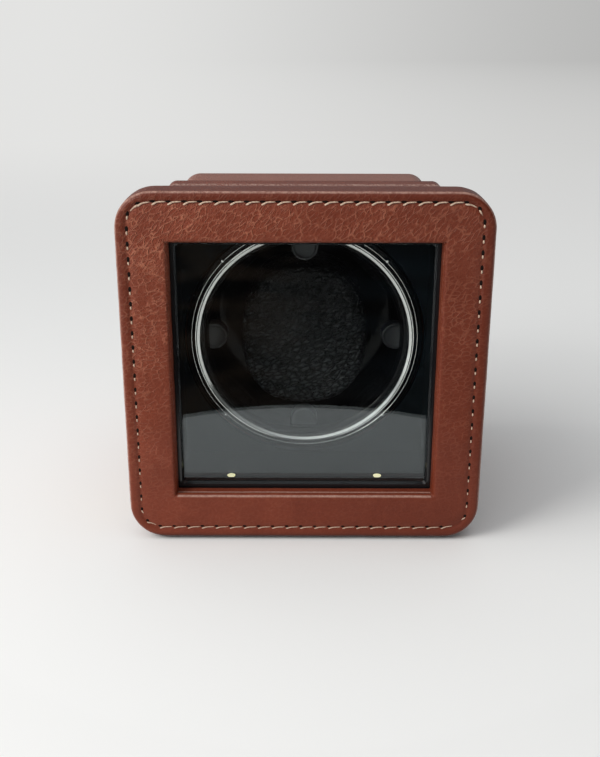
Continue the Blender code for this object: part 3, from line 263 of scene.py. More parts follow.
def copy_of(piece, name, change=None):
    """A copy with its own mesh, moved by a matrix."""
    made = piece.copy()
    made.data = piece.data.copy()
    made.name = made.data.name = name
    bpy.context.scene.collection.objects.link(made)
    if change is not None:
        made.data.transform(change)
    return made


CORNER_STEPS = 14
STRAIGHT_STEPS = 44


def rounded_square(half, corner, depth, straight=STRAIGHT_STEPS, arc=CORNER_STEPS):
    """Points of a rounded square that faces the front, one lap, with its middle on the object's axis."""
    points = []
    corner = max(corner, 0.02 * MM)
    for turn in range(4):
        start = turn * QUARTER_TURN
        hub = Vector((math.cos(start + math.pi / 4), math.sin(start + math.pi / 4)))
        hub *= (half - corner) * math.sqrt(2)
        for step in range(arc + 1):
            angle = start + QUARTER_TURN * step / arc
            points.append(hub + corner * Vector((math.cos(angle), math.sin(angle))))
        side = Vector((-math.sin(start + QUARTER_TURN), math.cos(start + QUARTER_TURN)))
        run = 2 * (half - corner)
        points += [points[-1] + side * run * step / straight for step in range(1, straight)]
    return [Vector((p.x, FRONT + depth, MIDDLE.z + p.y)) for p in points]


def swept(name, outlines, closed=True, capped=False):
    """Lays a ring of edges on the first outline and extrudes it onto each of the others in turn."""
    piece = add("circle", name, vertices=len(outlines[0]), radius=MM)
    for vertex, point in zip(piece.data.vertices, outlines[0]):
        vertex.co = point
    settle_ring = [*outlines, outlines[0]] if closed else outlines
    piece.location = (0, 0, 0)
    edit("EDGE")
    if capped:
        bpy.ops.mesh.edge_face_add()
    for before, after in zip(settle_ring, settle_ring[1:]):
        tree = KDTree(len(before))
        for index, point in enumerate(before):
            tree.insert(point, index)
        tree.balance()
        bpy.ops.mesh.extrude_edges_indiv()
        shape = bmesh.from_edit_mesh(piece.data)
        for vertex in shape.verts:
            if vertex.select:
                vertex.co = after[tree.find(vertex.co)[1]]
        bmesh.update_edit_mesh(piece.data)
    if capped:
        bpy.ops.mesh.edge_face_add()
    leave()
    tidy_mesh(piece)
    return piece


def turned(name, profile, steps, axis_point=MIDDLE, closed=True):
    """Draws a profile of (radius, depth) by extruding a point, then spins it round an axis that runs front to back."""
    places = [Vector((r, FRONT + depth, 0)) + Vector((axis_point.x, 0, axis_point.z)) for r, depth in profile]
    if closed:
        places.append(places[0])
    piece = add("plane", name, size=MM, location=places[0])
    edit("VERT")
    bpy.ops.mesh.merge(type="CENTER")
    for before, after in zip(places, places[1:]):
        bpy.ops.mesh.extrude_vertices_move(TRANSFORM_OT_translate={"value": after - before})
    bpy.ops.mesh.select_all(action="SELECT")
    bpy.ops.mesh.spin(
        steps=steps, angle=FULL_TURN, center=(axis_point.x, 0, axis_point.z), axis=(0, 1, 0),
    )
    leave()
    settle(piece)
    tidy_mesh(piece)
    return piece


def arc_profile(centre, radius, start, end, steps):
    """Points of a profile's rounding, by its centre as (radius, depth) and its angles in degrees."""
    angles = [math.radians(start + (end - start) * step / steps) for step in range(steps + 1)]
    return [(centre[0] + radius * math.cos(a), centre[1] + radius * math.sin(a)) for a in angles]


def tube(name, points, radii, sides=6):
    """A bent, tapered length of thread: a path with a round bevel, turned into a mesh."""
    bpy.ops.object.select_all(action="DESELECT")
    bpy.ops.curve.primitive_nurbs_path_add(location=(0, 0, 0))
    path = bpy.context.object
    spline = path.data.splines[0]
    spline.points.add(len(points) - len(spline.points) if len(points) > len(spline.points) else 0)
    for point, place, radius in zip(spline.points, points, radii):
        point.co = (*place, 1)
        point.radius = radius / radii[0]
    spline.use_endpoint_u = True
    spline.order_u = 3
    spline.resolution_u = 2
    path.data.bevel_depth = radii[0]
    path.data.bevel_resolution = max(sides // 4, 0)
    path.data.use_fill_caps = True
    bpy.ops.object.convert(target="MESH")
    piece = bpy.context.object
    piece.name = piece.data.name = name
    return piece


# Finishes


class Reading:
    """One output of a finish's nodes. It takes part in sums as a number does."""

    def __init__(self, finish, socket):
        self.finish = finish
        self.socket = socket

    def sum_of(self, operation, first, second):
        return self.finish.node("ShaderNodeMath", {"operation": operation}, {0: first, 1: second})

    def __add__(self, other):
        return self.sum_of("ADD", self, other)

    __radd__ = __add__

    def __sub__(self, other):
        return self.sum_of("SUBTRACT", self, other)

    def __rsub__(self, other):
        return self.sum_of("SUBTRACT", other, self)

    def __mul__(self, other):
        return self.sum_of("MULTIPLY", self, other)

    __rmul__ = __mul__

    def __truediv__(self, other):
        return self.sum_of("DIVIDE", self, other)

    def __pow__(self, other):
        return self.sum_of("POWER", self, other)

    def __gt__(self, other):
        return self.sum_of("GREATER_THAN", self, other)


class Finish:
    """A procedural material, put together from readings of the piece's own coordinates."""

    def __init__(self, name):
        self.start(bpy.data.materials.new(name), "ShaderNodeOutputMaterial")

    @classmethod
    def of(cls, world):
        """The same readings, for a world."""
        finish = cls.__new__(cls)
        finish.start(world, "ShaderNodeOutputWorld")
        return finish

    def start(self, owner, kind):
        self.material = owner
        owner.use_nodes = True
        self.tree = owner.node_tree
        self.tree.nodes.clear()
        self.result = self.tree.nodes.new(kind)

    def node(self, kind, settings=None, sockets=None, out=0):
        """Any node: its type, its settings, then the values or links of its sockets."""
        made = self.tree.nodes.new(kind)
        for key, value in (settings or {}).items():
            if key == "stops":
                for stop, (position, tone) in zip(self.ramp_stops(made, len(value)), value):
                    stop.position = position
                    stop.color = (*tone, 1)
            else:
                setattr(made, key, value)
        for key, value in (sockets or {}).items():
            if isinstance(value, Reading):
                self.tree.links.new(value.socket, made.inputs[key])
            else:
                made.inputs[key].default_value = value
        return Reading(self, made.outputs[out])

    def ramp_stops(self, made, count):
        while len(made.color_ramp.elements) < count:
            made.color_ramp.elements.new(0.5)
        return made.color_ramp.elements

    def place(self):
        return self.node("ShaderNodeTexCoord", out="Object")

    def part_of(self, vector, letter):
        return self.node("ShaderNodeSeparateXYZ", {}, {0: vector}, out=letter)

    def mapped(self, vector, turn=(0, 0, 0), stretch=(1, 1, 1)):
        """The vector, turned back and divided by the stretch."""
        return self.node(
            "ShaderNodeMapping", {"vector_type": "TEXTURE"}, {"Vector": vector, "Rotation": turn, "Scale": stretch}
        )

    def noise(self, vector, size, detail=2.0, rough=0.5, out="Fac"):
        sockets = {"Vector": vector, "Scale": 1 / size, "Detail": detail, "Roughness": rough}
        return self.node("ShaderNodeTexNoise", {}, sockets, out=out)

    def moved(self, vector, by, size):
        """The vector, pushed about by noise, so that a pattern isn't regular."""
        push = self.node(
            "ShaderNodeVectorMath", {"operation": "SUBTRACT"}, {0: self.noise(vector, size, out="Color"), 1: (0.5,) * 3}
        )
        push = self.node("ShaderNodeVectorMath", {"operation": "SCALE"}, {0: push, "Scale": by})
        return self.node("ShaderNodeVectorMath", {"operation": "ADD"}, {0: vector, 1: push})

    def cells(self, vector, size, feature="DISTANCE_TO_EDGE", out="Distance"):
        return self.node(
            "ShaderNodeTexVoronoi", {"feature": feature}, {"Vector": vector, "Scale": 1 / size}, out=out
        )

    def between(self, value, low, high, low_to=0.0, high_to=1.0, kind="SMOOTHSTEP"):
        """The value's way from low to high, as a number from low_to to high_to."""
        return self.node(
            "ShaderNodeMapRange", {"interpolation_type": kind},
            {0: value, 1: low, 2: high, 3: low_to, 4: high_to},
        )

    def mix(self, factor, first, second):
        return self.node(
            "ShaderNodeMix", {"data_type": "RGBA"}, {0: factor, 6: self.tone(first), 7: self.tone(second)}, out=2
        )

    def tone(self, value):
        return value if isinstance(value, Reading) else (*value[:3], 1)

    def bump(self, height, distance, strength=1.0, normal=None):
        sockets = {"Height": height, "Distance": distance, "Strength": strength}
        if normal is not None:
            sockets["Normal"] = normal
        return self.node("ShaderNodeBump", {}, sockets)

    def gap(self, value, other):
        """How far a value is from a number, either way."""
        return self.node("ShaderNodeMath", {"operation": "ABSOLUTE"}, {0: value - other})

    def ridges(self, vector, size, width):
        """Thin winding lines, where noise passes its middle value."""
        return self.between(self.gap(self.noise(vector, size, 2.0, 0.55), 0.5), 0.0, width, 1.0, 0.0)

    def attribute(self, name):
        return self.node("ShaderNodeAttribute", {"attribute_name": name}, out="Fac")

    def shader(self, kind="ShaderNodeBsdfPrincipled", **sockets):
        named = {key.replace("_", " "): value for key, value in sockets.items()}
        for key in ("Base Color", "Color", "Emission Color"):
            if key in named:
                named[key] = self.tone(named[key])
        return self.node(kind, {}, named)

    def done(self, shader):
        self.tree.links.new(shader.socket, self.result.inputs["Surface"])
        return self.material


def dress(pieces, material):
    """Gives each piece one material."""
    for piece in pieces:
        piece.data.materials.clear()
        piece.data.materials.append(material)


def brown_leather(name, leather, creased=1.0, edged=False, ends=(), sheen=None, top_haze=0.0):
    """Finished hide: pebbled, with broken slanting creases, fine pores, cloudy dye and a rim that darkens towards the
    top, carrying painted highlight on the creases, the rolled edge, the sill and the middle sleeve's top, painted
    reflection on a sleeve's top and painted shade to the right, at the sleeve ends and along the bottom.
    """
    finish = Finish(name)
    place = finish.place()
    across, along, up = (finish.part_of(place, letter) for letter in "XYZ")
    cell = leather.cell
    warped = finish.moved(place, 0.7 * cell, 1.6 * cell)
    slant = finish.mapped(warped, (0, math.radians(42), 0), (1.0, 1.0, 2.7))
    level = finish.mapped(warped, (0, math.radians(74), 0), (1.0, 1.0, 2.0))
    high = finish.between(up, MIDDLE.z + 0.026, MIDDLE.z + 0.046)
    streaks = 1 - finish.between(finish.cells(slant, 0.55 * cell), 0.02, 0.15)
    wrinkles = 1 - finish.between(finish.cells(level, 0.56 * cell), 0.02, 0.15)
    net = 1 - finish.between(finish.cells(warped, 0.38 * cell), 0.0, 0.3)
    broken = finish.between(finish.noise(place, 0.9 * cell, 2.0), 0.4, 0.56)
    creases = (streaks * high + wrinkles * (1 - high)) * (0.25 + 0.75 * broken)
    stretched = finish.between(up, MIDDLE.z - 0.048, MIDDLE.z + 0.036, 0.12, 1.0, "LINEAR")
    stretched = stretched * finish.between(across, -0.050, 0.055, 1.0, 0.45, "LINEAR")
    patches = finish.noise(place, 13 * MM, 3.0, 0.55)
    depth_of_crease = finish.between(patches, 0.28, 0.64, 0.55, 1.0) * stretched * creased
    grain = finish.noise(place, 1.0 * MM, 3.0, 0.6)
    pores = finish.noise(place, 0.42 * MM, 2.0, 0.7)
    height = (creases + 0.4 * net) * depth_of_crease + 0.45 * grain + 0.2 * pores
    tone = finish.mix(finish.between(patches, 0.3, 0.75), leather.deep_brown, leather.brown)
    tone = finish.mix(0.66, tone, leather.brown)
    # Painted shade: the leather is mixed towards deep brown to the right, away from the lamps on the left.
    tone = finish.mix(finish.between(across, -0.040, 0.052, 0.0, 0.42), tone, leather.deep_brown)
    tone = finish.mix(finish.between(grain, 0.35, 0.65, 0.22, 0.0), tone, leather.deep_brown)
    # Painted highlight: the creases are mixed towards the pale crease colour, for the glints on their ridges, weaker
    # lower down and to the right.
    tone = finish.mix((creases * 0.54 + net * 0.08) * depth_of_crease, tone, leather.rubbed)
    roughness = finish.between(pores, 0.2, 0.8, leather.roughness - 0.07, leather.roughness + 0.1, "LINEAR")
    if edged:
        inset = finish.attribute("inset")
        rim = finish.between(inset, leather.stitch_inset - 0.9 * MM, leather.stitch_inset + 0.2 * MM, 1.0, 0.0)
        tone = finish.mix(rim * finish.between(up, 0.0, 0.12, 0.15, 0.68, "LINEAR"), tone, leather.deep_brown)
        # Painted highlight: a pale line along the rolled outer edge, just behind the face, for the light caught on the
        # roll.
        edge_highlight = finish.between(inset, 0.05 * MM, 0.22 * MM) * finish.between(inset, 0.4 * MM, 0.9 * MM, 1.0, 0.0)
        edge_highlight = edge_highlight * finish.between(along, FRONT + 1.2 * MM, FRONT + 2.2 * MM, 1.0, 0.0)
        tone = finish.mix(edge_highlight * finish.between(grain, 0.3, 0.7, 0.35, 0.85), tone, leather.painted_highlight)
        # Painted highlight: two pale lines across the window's bottom sill, for the light caught on its folds.
        sill = finish.between(inset, 15.0 * MM, 15.7 * MM) * finish.between(up, MIDDLE.z - 0.043, MIDDLE.z - 0.042, 1.0, 0.0)
        sill = sill * finish.between(finish.gap(across, 0.0), 43.2 * MM, 43.6 * MM, 1.0, 0.0)
        for line in (0.75 * MM, 3.1 * MM):
            waxed = sill * finish.between(finish.gap(along, FRONT + line), 0.2 * MM, 0.55 * MM, 1.0, 0.0)
            tone = finish.mix(waxed * finish.between(grain, 0.3, 0.7, 0.5, 0.9), tone, leather.painted_highlight)
        height = height * finish.between(rim, 0.0, 1.0, 1.0, 0.5, "LINEAR")
    # Painted shade: a darker band at each given end of a sleeve, for the shade where it meets the next part.
    for end in ends:
        painted = finish.between(finish.gap(along, end), 0.9 * MM, 2.6 * MM, 0.9, 0.0)
        tone = finish.mix(painted, tone, leather.deep_brown)
    # Painted highlight: a pale streaky band across the top of the middle sleeve, at the given depth, for the glints on
    # its grain.
    if sheen:
        drawn = finish.noise(finish.mapped(place, (0, 0, 0), (0.35, 1.0, 1.0)), 1.6 * MM, 2.0)
        glint_band = finish.between(finish.gap(along, sheen), 0.8 * MM, 3.4 * MM, 1.0, 0.0)
        glint_band = glint_band * finish.between(up, MIDDLE.z + 0.0505, MIDDLE.z + 0.0514)
        tone = finish.mix(glint_band * finish.between(drawn, 0.4, 0.58, 0.0, 0.95), tone, leather.painted_highlight)
    # Painted reflection: the top of a sleeve is made paler by the given share, for the sky seen on it at a grazing
    # angle.
    tone = finish.mix(finish.between(up, MIDDLE.z + 0.042, MIDDLE.z + 0.0485, 0.2 * top_haze, top_haze), tone, leather.painted_highlight)
    # Painted shade: the leather turns nearly black within a few millimetres of the floor, for the shade under its
    # bottom edge.
    contact_shade = finish.between(up, 0.8 * MM, 3.2 * MM, 0.85, 0.0)
    tone = finish.mix(contact_shade, tone, tuple(0.25 * part for part in leather.deep_brown))
    normal = finish.bump(height, 0.3 * MM, 1.0)
    shader = finish.shader(
        Base_Color=tone, Roughness=roughness, Normal=normal, Specular_IOR_Level=0.16, Coat_Weight=0.12,
        Coat_Roughness=0.17,
    )
    return finish.done(shader)


def black_leather(name, cell):
    """Crinkled black leather with a shine on its ridges, which are also painted paler as highlight, strongly in the
    lower part and hardly at the top.
    """
    finish = Finish(name)
    place = finish.place()
    warped = finish.moved(place, 0.9 * cell, 1.8 * cell)
    wavy = finish.mapped(warped, (0, math.radians(68), 0), (1.0, 1.0, 2.2))
    folds = finish.between(finish.cells(wavy, 0.8 * cell), 0.0, 0.34)
    pores = finish.noise(place, 0.3 * MM, 2.0, 0.6)
    # Painted light: the ridges are painted paler, as highlight, in the lower part that the light reaches, and hardly at
    # the top.
    lit_lower_part = finish.between(finish.part_of(place, "Z"), MIDDLE.z - 0.020, MIDDLE.z + 0.020, 1.0, 0.08)
    tone = finish.mix(folds * lit_lower_part, (0.002, 0.0025, 0.003), (0.055, 0.060, 0.062))
    normal = finish.bump(0.9 * folds + 0.25 * pores, 0.4 * MM, 1.0)
    roughness = finish.between(pores, 0.2, 0.8, 0.22, 0.34, "LINEAR")
    return finish.done(finish.shader(Base_Color=tone, Roughness=roughness, Normal=normal, Specular_IOR_Level=0.25))


def waxed_thread(name, leather):
    """Twisted thread: its strands cross it at a slant."""
    finish = Finish(name)
    place = finish.place()
    strands = finish.node(
        "ShaderNodeTexWave", {"bands_direction": "DIAGONAL"},
        {"Vector": place, "Scale": 1 / (2.1 * MM), "Distortion": 0.6}, out="Fac",
    )
    fuzz = finish.noise(place, 0.25 * MM, 2.0)
    dark = tuple(0.72 * part for part in leather.thread)
    tone = finish.mix(0.65 * strands + 0.35 * fuzz, dark, leather.thread)
    return finish.done(
        finish.shader(Base_Color=tone, Roughness=0.58 + 0.12 * fuzz, Normal=finish.bump(strands, 0.08 * MM, 0.8))
    )


def hole_shade(name):
    # Painted shade: a near-black finish for the dimples, for the shade inside the needle holes.
    finish = Finish(name)
    grain = finish.noise(finish.place(), 0.4 * MM)
    tone = finish.mix(grain, (0.004, 0.0025, 0.002), (0.012, 0.006, 0.004))
    return finish.done(finish.shader(Base_Color=tone, Roughness=0.7 + 0.2 * grain, Specular_IOR_Level=0.1))


def window_glass(name):
    """Clear glass that lets the lamps through and mirrors what stands before it."""
    finish = Finish(name)
    smear = finish.noise(finish.place(), 26 * MM, 3.0)
    clear = finish.shader("ShaderNodeBsdfTransparent", Color=(0.93, 0.945, 0.94))
    mirror = finish.shader(
        "ShaderNodeBsdfGlossy", Color=(0.90, 0.97, 1.0), Roughness=finish.between(smear, 0.3, 0.8, 0.0, 0.004),
    )
    outward, inward = (finish.node("ShaderNodeFresnel", {}, {"IOR": index}) for index in (1.63, 1 / 1.63))
    back = finish.node("ShaderNodeNewGeometry", out="Backfacing")
    edge = outward * (1 - back) + inward * back
    return finish.done(finish.node("ShaderNodeMixShader", {}, {0: edge, 1: clear, 2: mirror}))


def gloss_black(name, base=0.006, roughness=0.09, shine=0.5):
    """Polished moulded plastic with a trace of dust."""
    finish = Finish(name)
    place = finish.place()
    dust = finish.between(finish.noise(place, 0.5 * MM, 2.0, 0.7), 0.62, 0.8)
    sheen = finish.noise(place, 9 * MM, 2.0)
    tone = finish.mix(dust * 0.08, (base, base, base * 1.1), (0.1, 0.1, 0.1))
    shader = finish.shader(
        Base_Color=tone, Roughness=finish.between(sheen, 0.3, 0.7, roughness, roughness + 0.05, "LINEAR"),
        Specular_IOR_Level=shine,
    )
    return finish.done(shader)


def grained_plastic(name, tone, size, roughness, height=0.05):
    """Moulded plastic or rubber with a fine spark-eroded grain."""
    finish = Finish(name)
    place = finish.place()
    grain = finish.noise(place, size, 3.0, 0.65)
    broad = finish.noise(place, 16 * MM, 2.0)
    paler = tuple(min(1.0, 1.25 * part + 0.004) for part in tone)
    shade = finish.mix(0.5 * grain + 0.5 * broad, tone, paler)
    shader = finish.shader(
        Base_Color=shade,
        Roughness=finish.between(grain, 0.3, 0.7, roughness - 0.06, roughness + 0.08, "LINEAR"),
        Normal=finish.bump(grain, height * MM, 0.7),
    )
    return finish.done(shader)


def flocked_lining(name):
    """Short black pile, lighter where it is brushed up."""
    finish = Finish(name)
    place = finish.place()
    pile = finish.noise(place, 0.35 * MM, 2.0, 0.8)
    brushed = finish.noise(place, 7 * MM, 3.0, 0.6)
    tone = finish.mix(0.5 * pile + 0.5 * brushed, (0.005, 0.0075, 0.009), (0.008, 0.0115, 0.0145))
    shader = finish.shader(
        Base_Color=tone, Roughness=finish.between(pile, 0.2, 0.8, 0.82, 0.98), Normal=finish.bump(pile, 0.05 * MM, 0.5),
        Specular_IOR_Level=0.05,
    )
    return finish.done(shader)


def metal(name, tone, roughness, brushed=0.06, stretch=(1, 24, 1)):
    """Polished, plated or brushed metal, with fine marks along one direction."""
    finish = Finish(name)
    place = finish.place()
    marks = finish.noise(finish.mapped(place, stretch=stretch), 0.16 * MM, 2.0, 0.6)
    cloud = finish.noise(place, 6 * MM, 2.0)
    darker = tuple(0.86 * part for part in tone)
    shader = finish.shader(
        Base_Color=finish.mix(0.35 * marks + 0.35 * cloud, tone, darker), Metallic=1.0,
        Roughness=finish.between(marks, 0.2, 0.8, roughness, roughness + brushed, "LINEAR"),
        Normal=finish.bump(marks, 0.01 * MM, 0.4),
    )
    return finish.done(shader)


def warm_lens(name):
    """A lit lens, brightest in its middle and ribbed like a moulded one."""
    finish = Finish(name)
    ribs = finish.cells(finish.place(), 0.5 * MM, "F1")
    tone = finish.mix(finish.between(ribs, 0.1, 0.6), (0.95, 0.90, 0.62), (0.80, 0.74, 0.42))
    return finish.done(
        finish.shader(Base_Color=(0.8, 0.75, 0.5), Roughness=0.3, Emission_Color=tone, Emission_Strength=0.9)
    )


def board_green(name):
    """Solder mask over fine copper tracks."""
    finish = Finish(name)
    place = finish.place()
    across = finish.cells(place, 2.2 * MM, "F1", "Distance")
    tracks = finish.node(
        "ShaderNodeTexBrick", {"offset": 0.37},
        {"Vector": finish.mapped(place, (QUARTER_TURN, 0, 0)), "Scale": 1 / (6 * MM), "Mortar Size": 0.06}, out="Fac",
    )
    tone = finish.mix(tracks, (0.012, 0.085, 0.035), (0.03, 0.17, 0.07))
    tone = finish.mix(finish.between(across, 0.1, 0.16, 1.0, 0.0), tone, (0.6, 0.58, 0.5))
    return finish.done(
        finish.shader(Base_Color=tone, Roughness=0.35 + 0.1 * tracks, Normal=finish.bump(tracks, 0.05 * MM, 0.5))
    )


# The steps that the panel lists


class StepOperator:
    """What every step shares."""

    bl_options = {"REGISTER", "UNDO"}

    def execute(self, context):
        self.make(context.scene.winder_leather, context.scene.winder_drum, context.scene.winder_stage)
        return {"FINISHED"}


def rail_sections(leather):
    """The rail's section from its outer edge inwards: (inset, depth) of each outline of the leather."""
    roll = leather.edge
    sections = []
    for step in range(7):
        angle = QUARTER_TURN * step / 6
        sections.append((roll * (1 - math.cos(angle)), roll * (1 - math.sin(angle))))
    line = leather.stitch_inset
    valley = leather.valley
    sections += [
        (line - 1.15 * MM, 0.02 * MM),
        (line - 0.75 * MM, 0.16 * MM),
        (line - 0.4 * MM, 0.72 * valley),
        (line, valley),
        (line + 0.35 * MM, 0.8 * valley),
        (line + 0.8 * MM, 0.42 * valley),
        (line + 1.5 * MM, 0.18 * valley),
        (line + 2.6 * MM, 0.03 * MM),
    ]
    fold = FACE_HALF - leather.window
    sections += [(inset, 0.03 * MM) for inset in (7.4 * MM, 8.8 * MM, 10.2 * MM, 11.6 * MM, 13.0 * MM)]
    sections += [
        (fold - 1.5 * MM, 0.06 * MM),
        (fold - 0.8 * MM, 0.12 * MM),
        (fold - 0.3 * MM, 0.3 * MM),
        (fold - 0.02 * MM, 0.75 * MM),
        (fold + 0.08 * MM, 1.2 * MM),
        (fold + 0.42 * MM, 1.7 * MM),
        (fold + 0.44 * MM, 2.0 * MM),
        (fold + 0.16 * MM, 2.6 * MM),
        (fold + 0.24 * MM, 3.4 * MM),
        (fold + 0.42 * MM, 4.6 * MM),
        (fold + 0.5 * MM, 5.6 * MM),
        (fold + 0.6 * MM, 6.15 * MM),
    ]
    return sections


class WINDER_OT_leather_door(StepOperator, bpy.types.Operator):
    """Wraps the door's frame in leather: rolled edges, a stitch valley, a folded window edge and a rebated back"""

    bl_idname = "winder.leather_door"
    bl_label = "Leather door frame"

    def make(self, leather, drum, stage):
        thick = DOOR_HIGH.y - FRONT
        rebate = 50 * MM
        outlines = []
        for inset, depth in rail_sections(leather):
            corner = max(leather.corner - inset, 0.35 * MM)
            near = max(0.0, 1 - abs(inset - leather.stitch_inset) / (3 * MM))
            corner += (leather.stitch_corner - corner) * near * 0.9
            outline = rounded_square(FACE_HALF - inset, corner, depth)
            lift = near * (leather.stitch_inset - leather.stitch_top)
            for point in outline:
                point.z += lift * max(0.0, (point.z - MIDDLE.z) / FACE_HALF)
            outlines.append(outline)
        back = 1.0 * MM
        outlines += [
            rounded_square(rebate - 0.6 * MM, 1.0 * MM, 6.2 * MM),
            rounded_square(rebate, 1.2 * MM, 6.6 * MM),
            rounded_square(rebate, 1.4 * MM, thick - 0.35 * MM),
            rounded_square(rebate + 0.35 * MM, 1.7 * MM, thick),
            rounded_square(rebate + 3 * MM, 4 * MM, thick),
            rounded_square(FACE_HALF - 3.5 * MM, leather.corner - 3.5 * MM, thick),
            rounded_square(FACE_HALF - back, leather.corner - back, thick),
            rounded_square(FACE_HALF - 0.3 * back, leather.corner - 0.3 * back, thick - 0.3 * back),
            rounded_square(FACE_HALF, leather.corner, thick - back),
            rounded_square(FACE_HALF, leather.corner, thick * 0.5),
        ]
        door = swept("door_leather", outlines)
        apply_modifier(door, "SUBSURF", levels=1, render_levels=1)
        relief = bpy.data.textures.new("hide_relief", "CLOUDS")
        relief.noise_scale = 7 * MM
        relief.noise_depth = 2
        apply_modifier(
            door, "DISPLACE", texture=relief, texture_coords="LOCAL", strength=0.16 * MM, mid_level=1.0
        )
        cut(door, [
            box_round("leaf_pocket", *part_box(node), margin=0.12 * MM)
            for node in ("hinge_upper_door_leaf", "hinge_lower_door_leaf", "door_magnet_upper", "door_magnet_lower")
        ])
        keep_inset(door, leather.corner)
        smooth(door, 50)
        dress([door], brown_leather("brown_leather_door", leather, 1.0, edged=True))
        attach(door, "door")
        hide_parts("door_frame")


def keep_inset(piece, corner):
    """Stores on each point how far it lies in from the door's outline, for the finish to read."""
    layer = piece.data.attributes.new("inset", "FLOAT", "POINT")
    reach = FACE_HALF - corner
    values = []
    for vertex in piece.data.vertices:
        across = abs(vertex.co.x) - reach
        up = abs(vertex.co.z - MIDDLE.z) - reach
        beyond = math.hypot(max(across, 0), max(up, 0)) + min(max(across, up), 0)
        values.append(corner - beyond)
    layer.data.foreach_set("value", values)


def stitch_middle(leather):
    """The stitch line's middle, which stands a little high because its top inset is the smaller."""
    return MIDDLE + Vector((0, 0, (leather.stitch_inset - leather.stitch_top) / 2))


def stitch_places(leather):
    """Each needle hole's place, once round the door."""
    wide = FACE_HALF - leather.stitch_inset
    tall = FACE_HALF - (leather.stitch_inset + leather.stitch_top) / 2
    corner = leather.stitch_corner
    arc = corner * QUARTER_TURN
    lap = 4 * (wide + tall - 2 * corner + arc)
    count = round(lap / leather.stitch_pitch)
    corners = ((1, 1, 0), (-1, 1, 1), (-1, -1, 2), (1, -1, 3))
    places = []
    for index in range(count):
        travelled = lap * index / count
        for across, up, quarter in corners:
            hub = Vector((across * (wide - corner), up * (tall - corner)))
            start = quarter * QUARTER_TURN
            run = 2 * ((wide if quarter % 2 == 0 else tall) - corner)
            if travelled < arc:
                angle = start + travelled / corner
                flat = hub + corner * Vector((math.cos(angle), math.sin(angle)))
                break
            travelled -= arc
            if travelled < run:
                angle = start + QUARTER_TURN
                ahead = Vector((-math.sin(angle), math.cos(angle)))
                flat = hub + corner * Vector((math.cos(angle), math.sin(angle))) + ahead * travelled
                break
            travelled -= run
        places.append(Vector((flat.x, 0, flat.y)) + stitch_middle(leather))
    return places


class WINDER_OT_stitching(StepOperator, bpy.types.Operator):
    """Sews the door: one slanting thread and one needle hole for each stitch, the hole painted dark as its shade"""

    bl_idname = "winder.stitching"
    bl_label = "Stitching"

    def make(self, leather, drum, stage):
        places = stitch_places(leather)
        bed = FRONT + leather.valley
        threads, holes = [], []
        for index, here in enumerate(places):
            there = places[(index + 1) % len(places)]
            along = there - here
            if abs(along.x) > abs(along.z) and along.x < 0 or abs(along.z) >= abs(along.x) and along.z > 0:
                here, there, along = there, here, -along
            threads.append(self.stitch(leather, here, there, bed, f"thread_{index}"))
            holes.append(self.hole(leather, here, there, bed, f"hole_{index}"))
        thread = join(threads, "door_stitches")
        smooth(thread, 60)
        dress([thread], waxed_thread("waxed_thread", leather))
        hole = join(holes, "door_needle_holes")
        smooth(hole, 60)
        dress([hole], hole_shade("needle_hole"))
        for piece in (thread, hole):
            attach(piece, "door")

    def stitch(self, leather, here, there, bed, name):
        """A thread from one hole to the next: it comes up below its hole, slants over and sinks into the next one."""
        along = (there - here).normalized()
        pitch = (there - here).length
        lying = abs(along.x) / (abs(along.x) + abs(along.z))
        below = Vector((along.z, 0, -along.x)) * (1 if along.x > 0 else -1) if abs(along.x) > 0.3 else Vector()
        fine = self.fineness(here)
        radius = leather.thread_radius * fine
        slope = 0.95 * MM * lying * fine
        hidden = 0.62 * MM * (1 - lying)
        begin = 0.55 * MM * (1 - lying)
        stations = (
            (begin - 0.35 * MM * lying, slope, -0.6 * radius, 0.8),
            (begin + 0.1 * MM, 0.85 * slope, 0.9 * radius, 1.25),
            (begin + 0.75 * MM, 0.42 * slope, 0.95 * radius - 0.25 * hidden, 1.2),
            (1.5 * MM, 0.1 * slope, 0.85 * radius - hidden, 1.0),
            (0.55 * pitch, 0.0, 0.8 * radius - hidden, 0.95),
            (pitch - 1.35 * MM, 0.02 * slope, 0.5 * radius - hidden, 0.85),
            (pitch - 0.75 * MM, 0.06 * slope, -0.9 * radius - hidden, 0.6),
        )
        points, radii = [], []
        for run, fall, rise, scale in stations:
            point = here + along * run + below * fall
            points.append((point.x, bed - rise, point.z))
            radii.append(radius * scale)
        return tube(name, points, radii, sides=6)

    def fineness(self, here):
        """The seam is pulled tighter from the top of the door down to its bottom."""
        return 0.88 + 0.2 * (here.z - MIDDLE.z) / FACE_HALF

    def hole(self, leather, here, there, bed, name):
        """A dimple drawn out along the stitch line, near-black as the painted shade inside the needle hole."""
        along = (there - here).normalized()
        lying = abs(along.x) / (abs(along.x) + abs(along.z))
        fine = self.fineness(here)
        piece = add(
            "uv_sphere", name, segments=12, ring_count=6, radius=1 * MM,
            location=(here.x, bed + 0.05 * MM, here.z + 0.3 * MM),
            scale=((0.58 + 0.4 * lying) * fine, 0.28, (0.9 - 0.26 * lying) * fine),
        )
        return settle(piece)


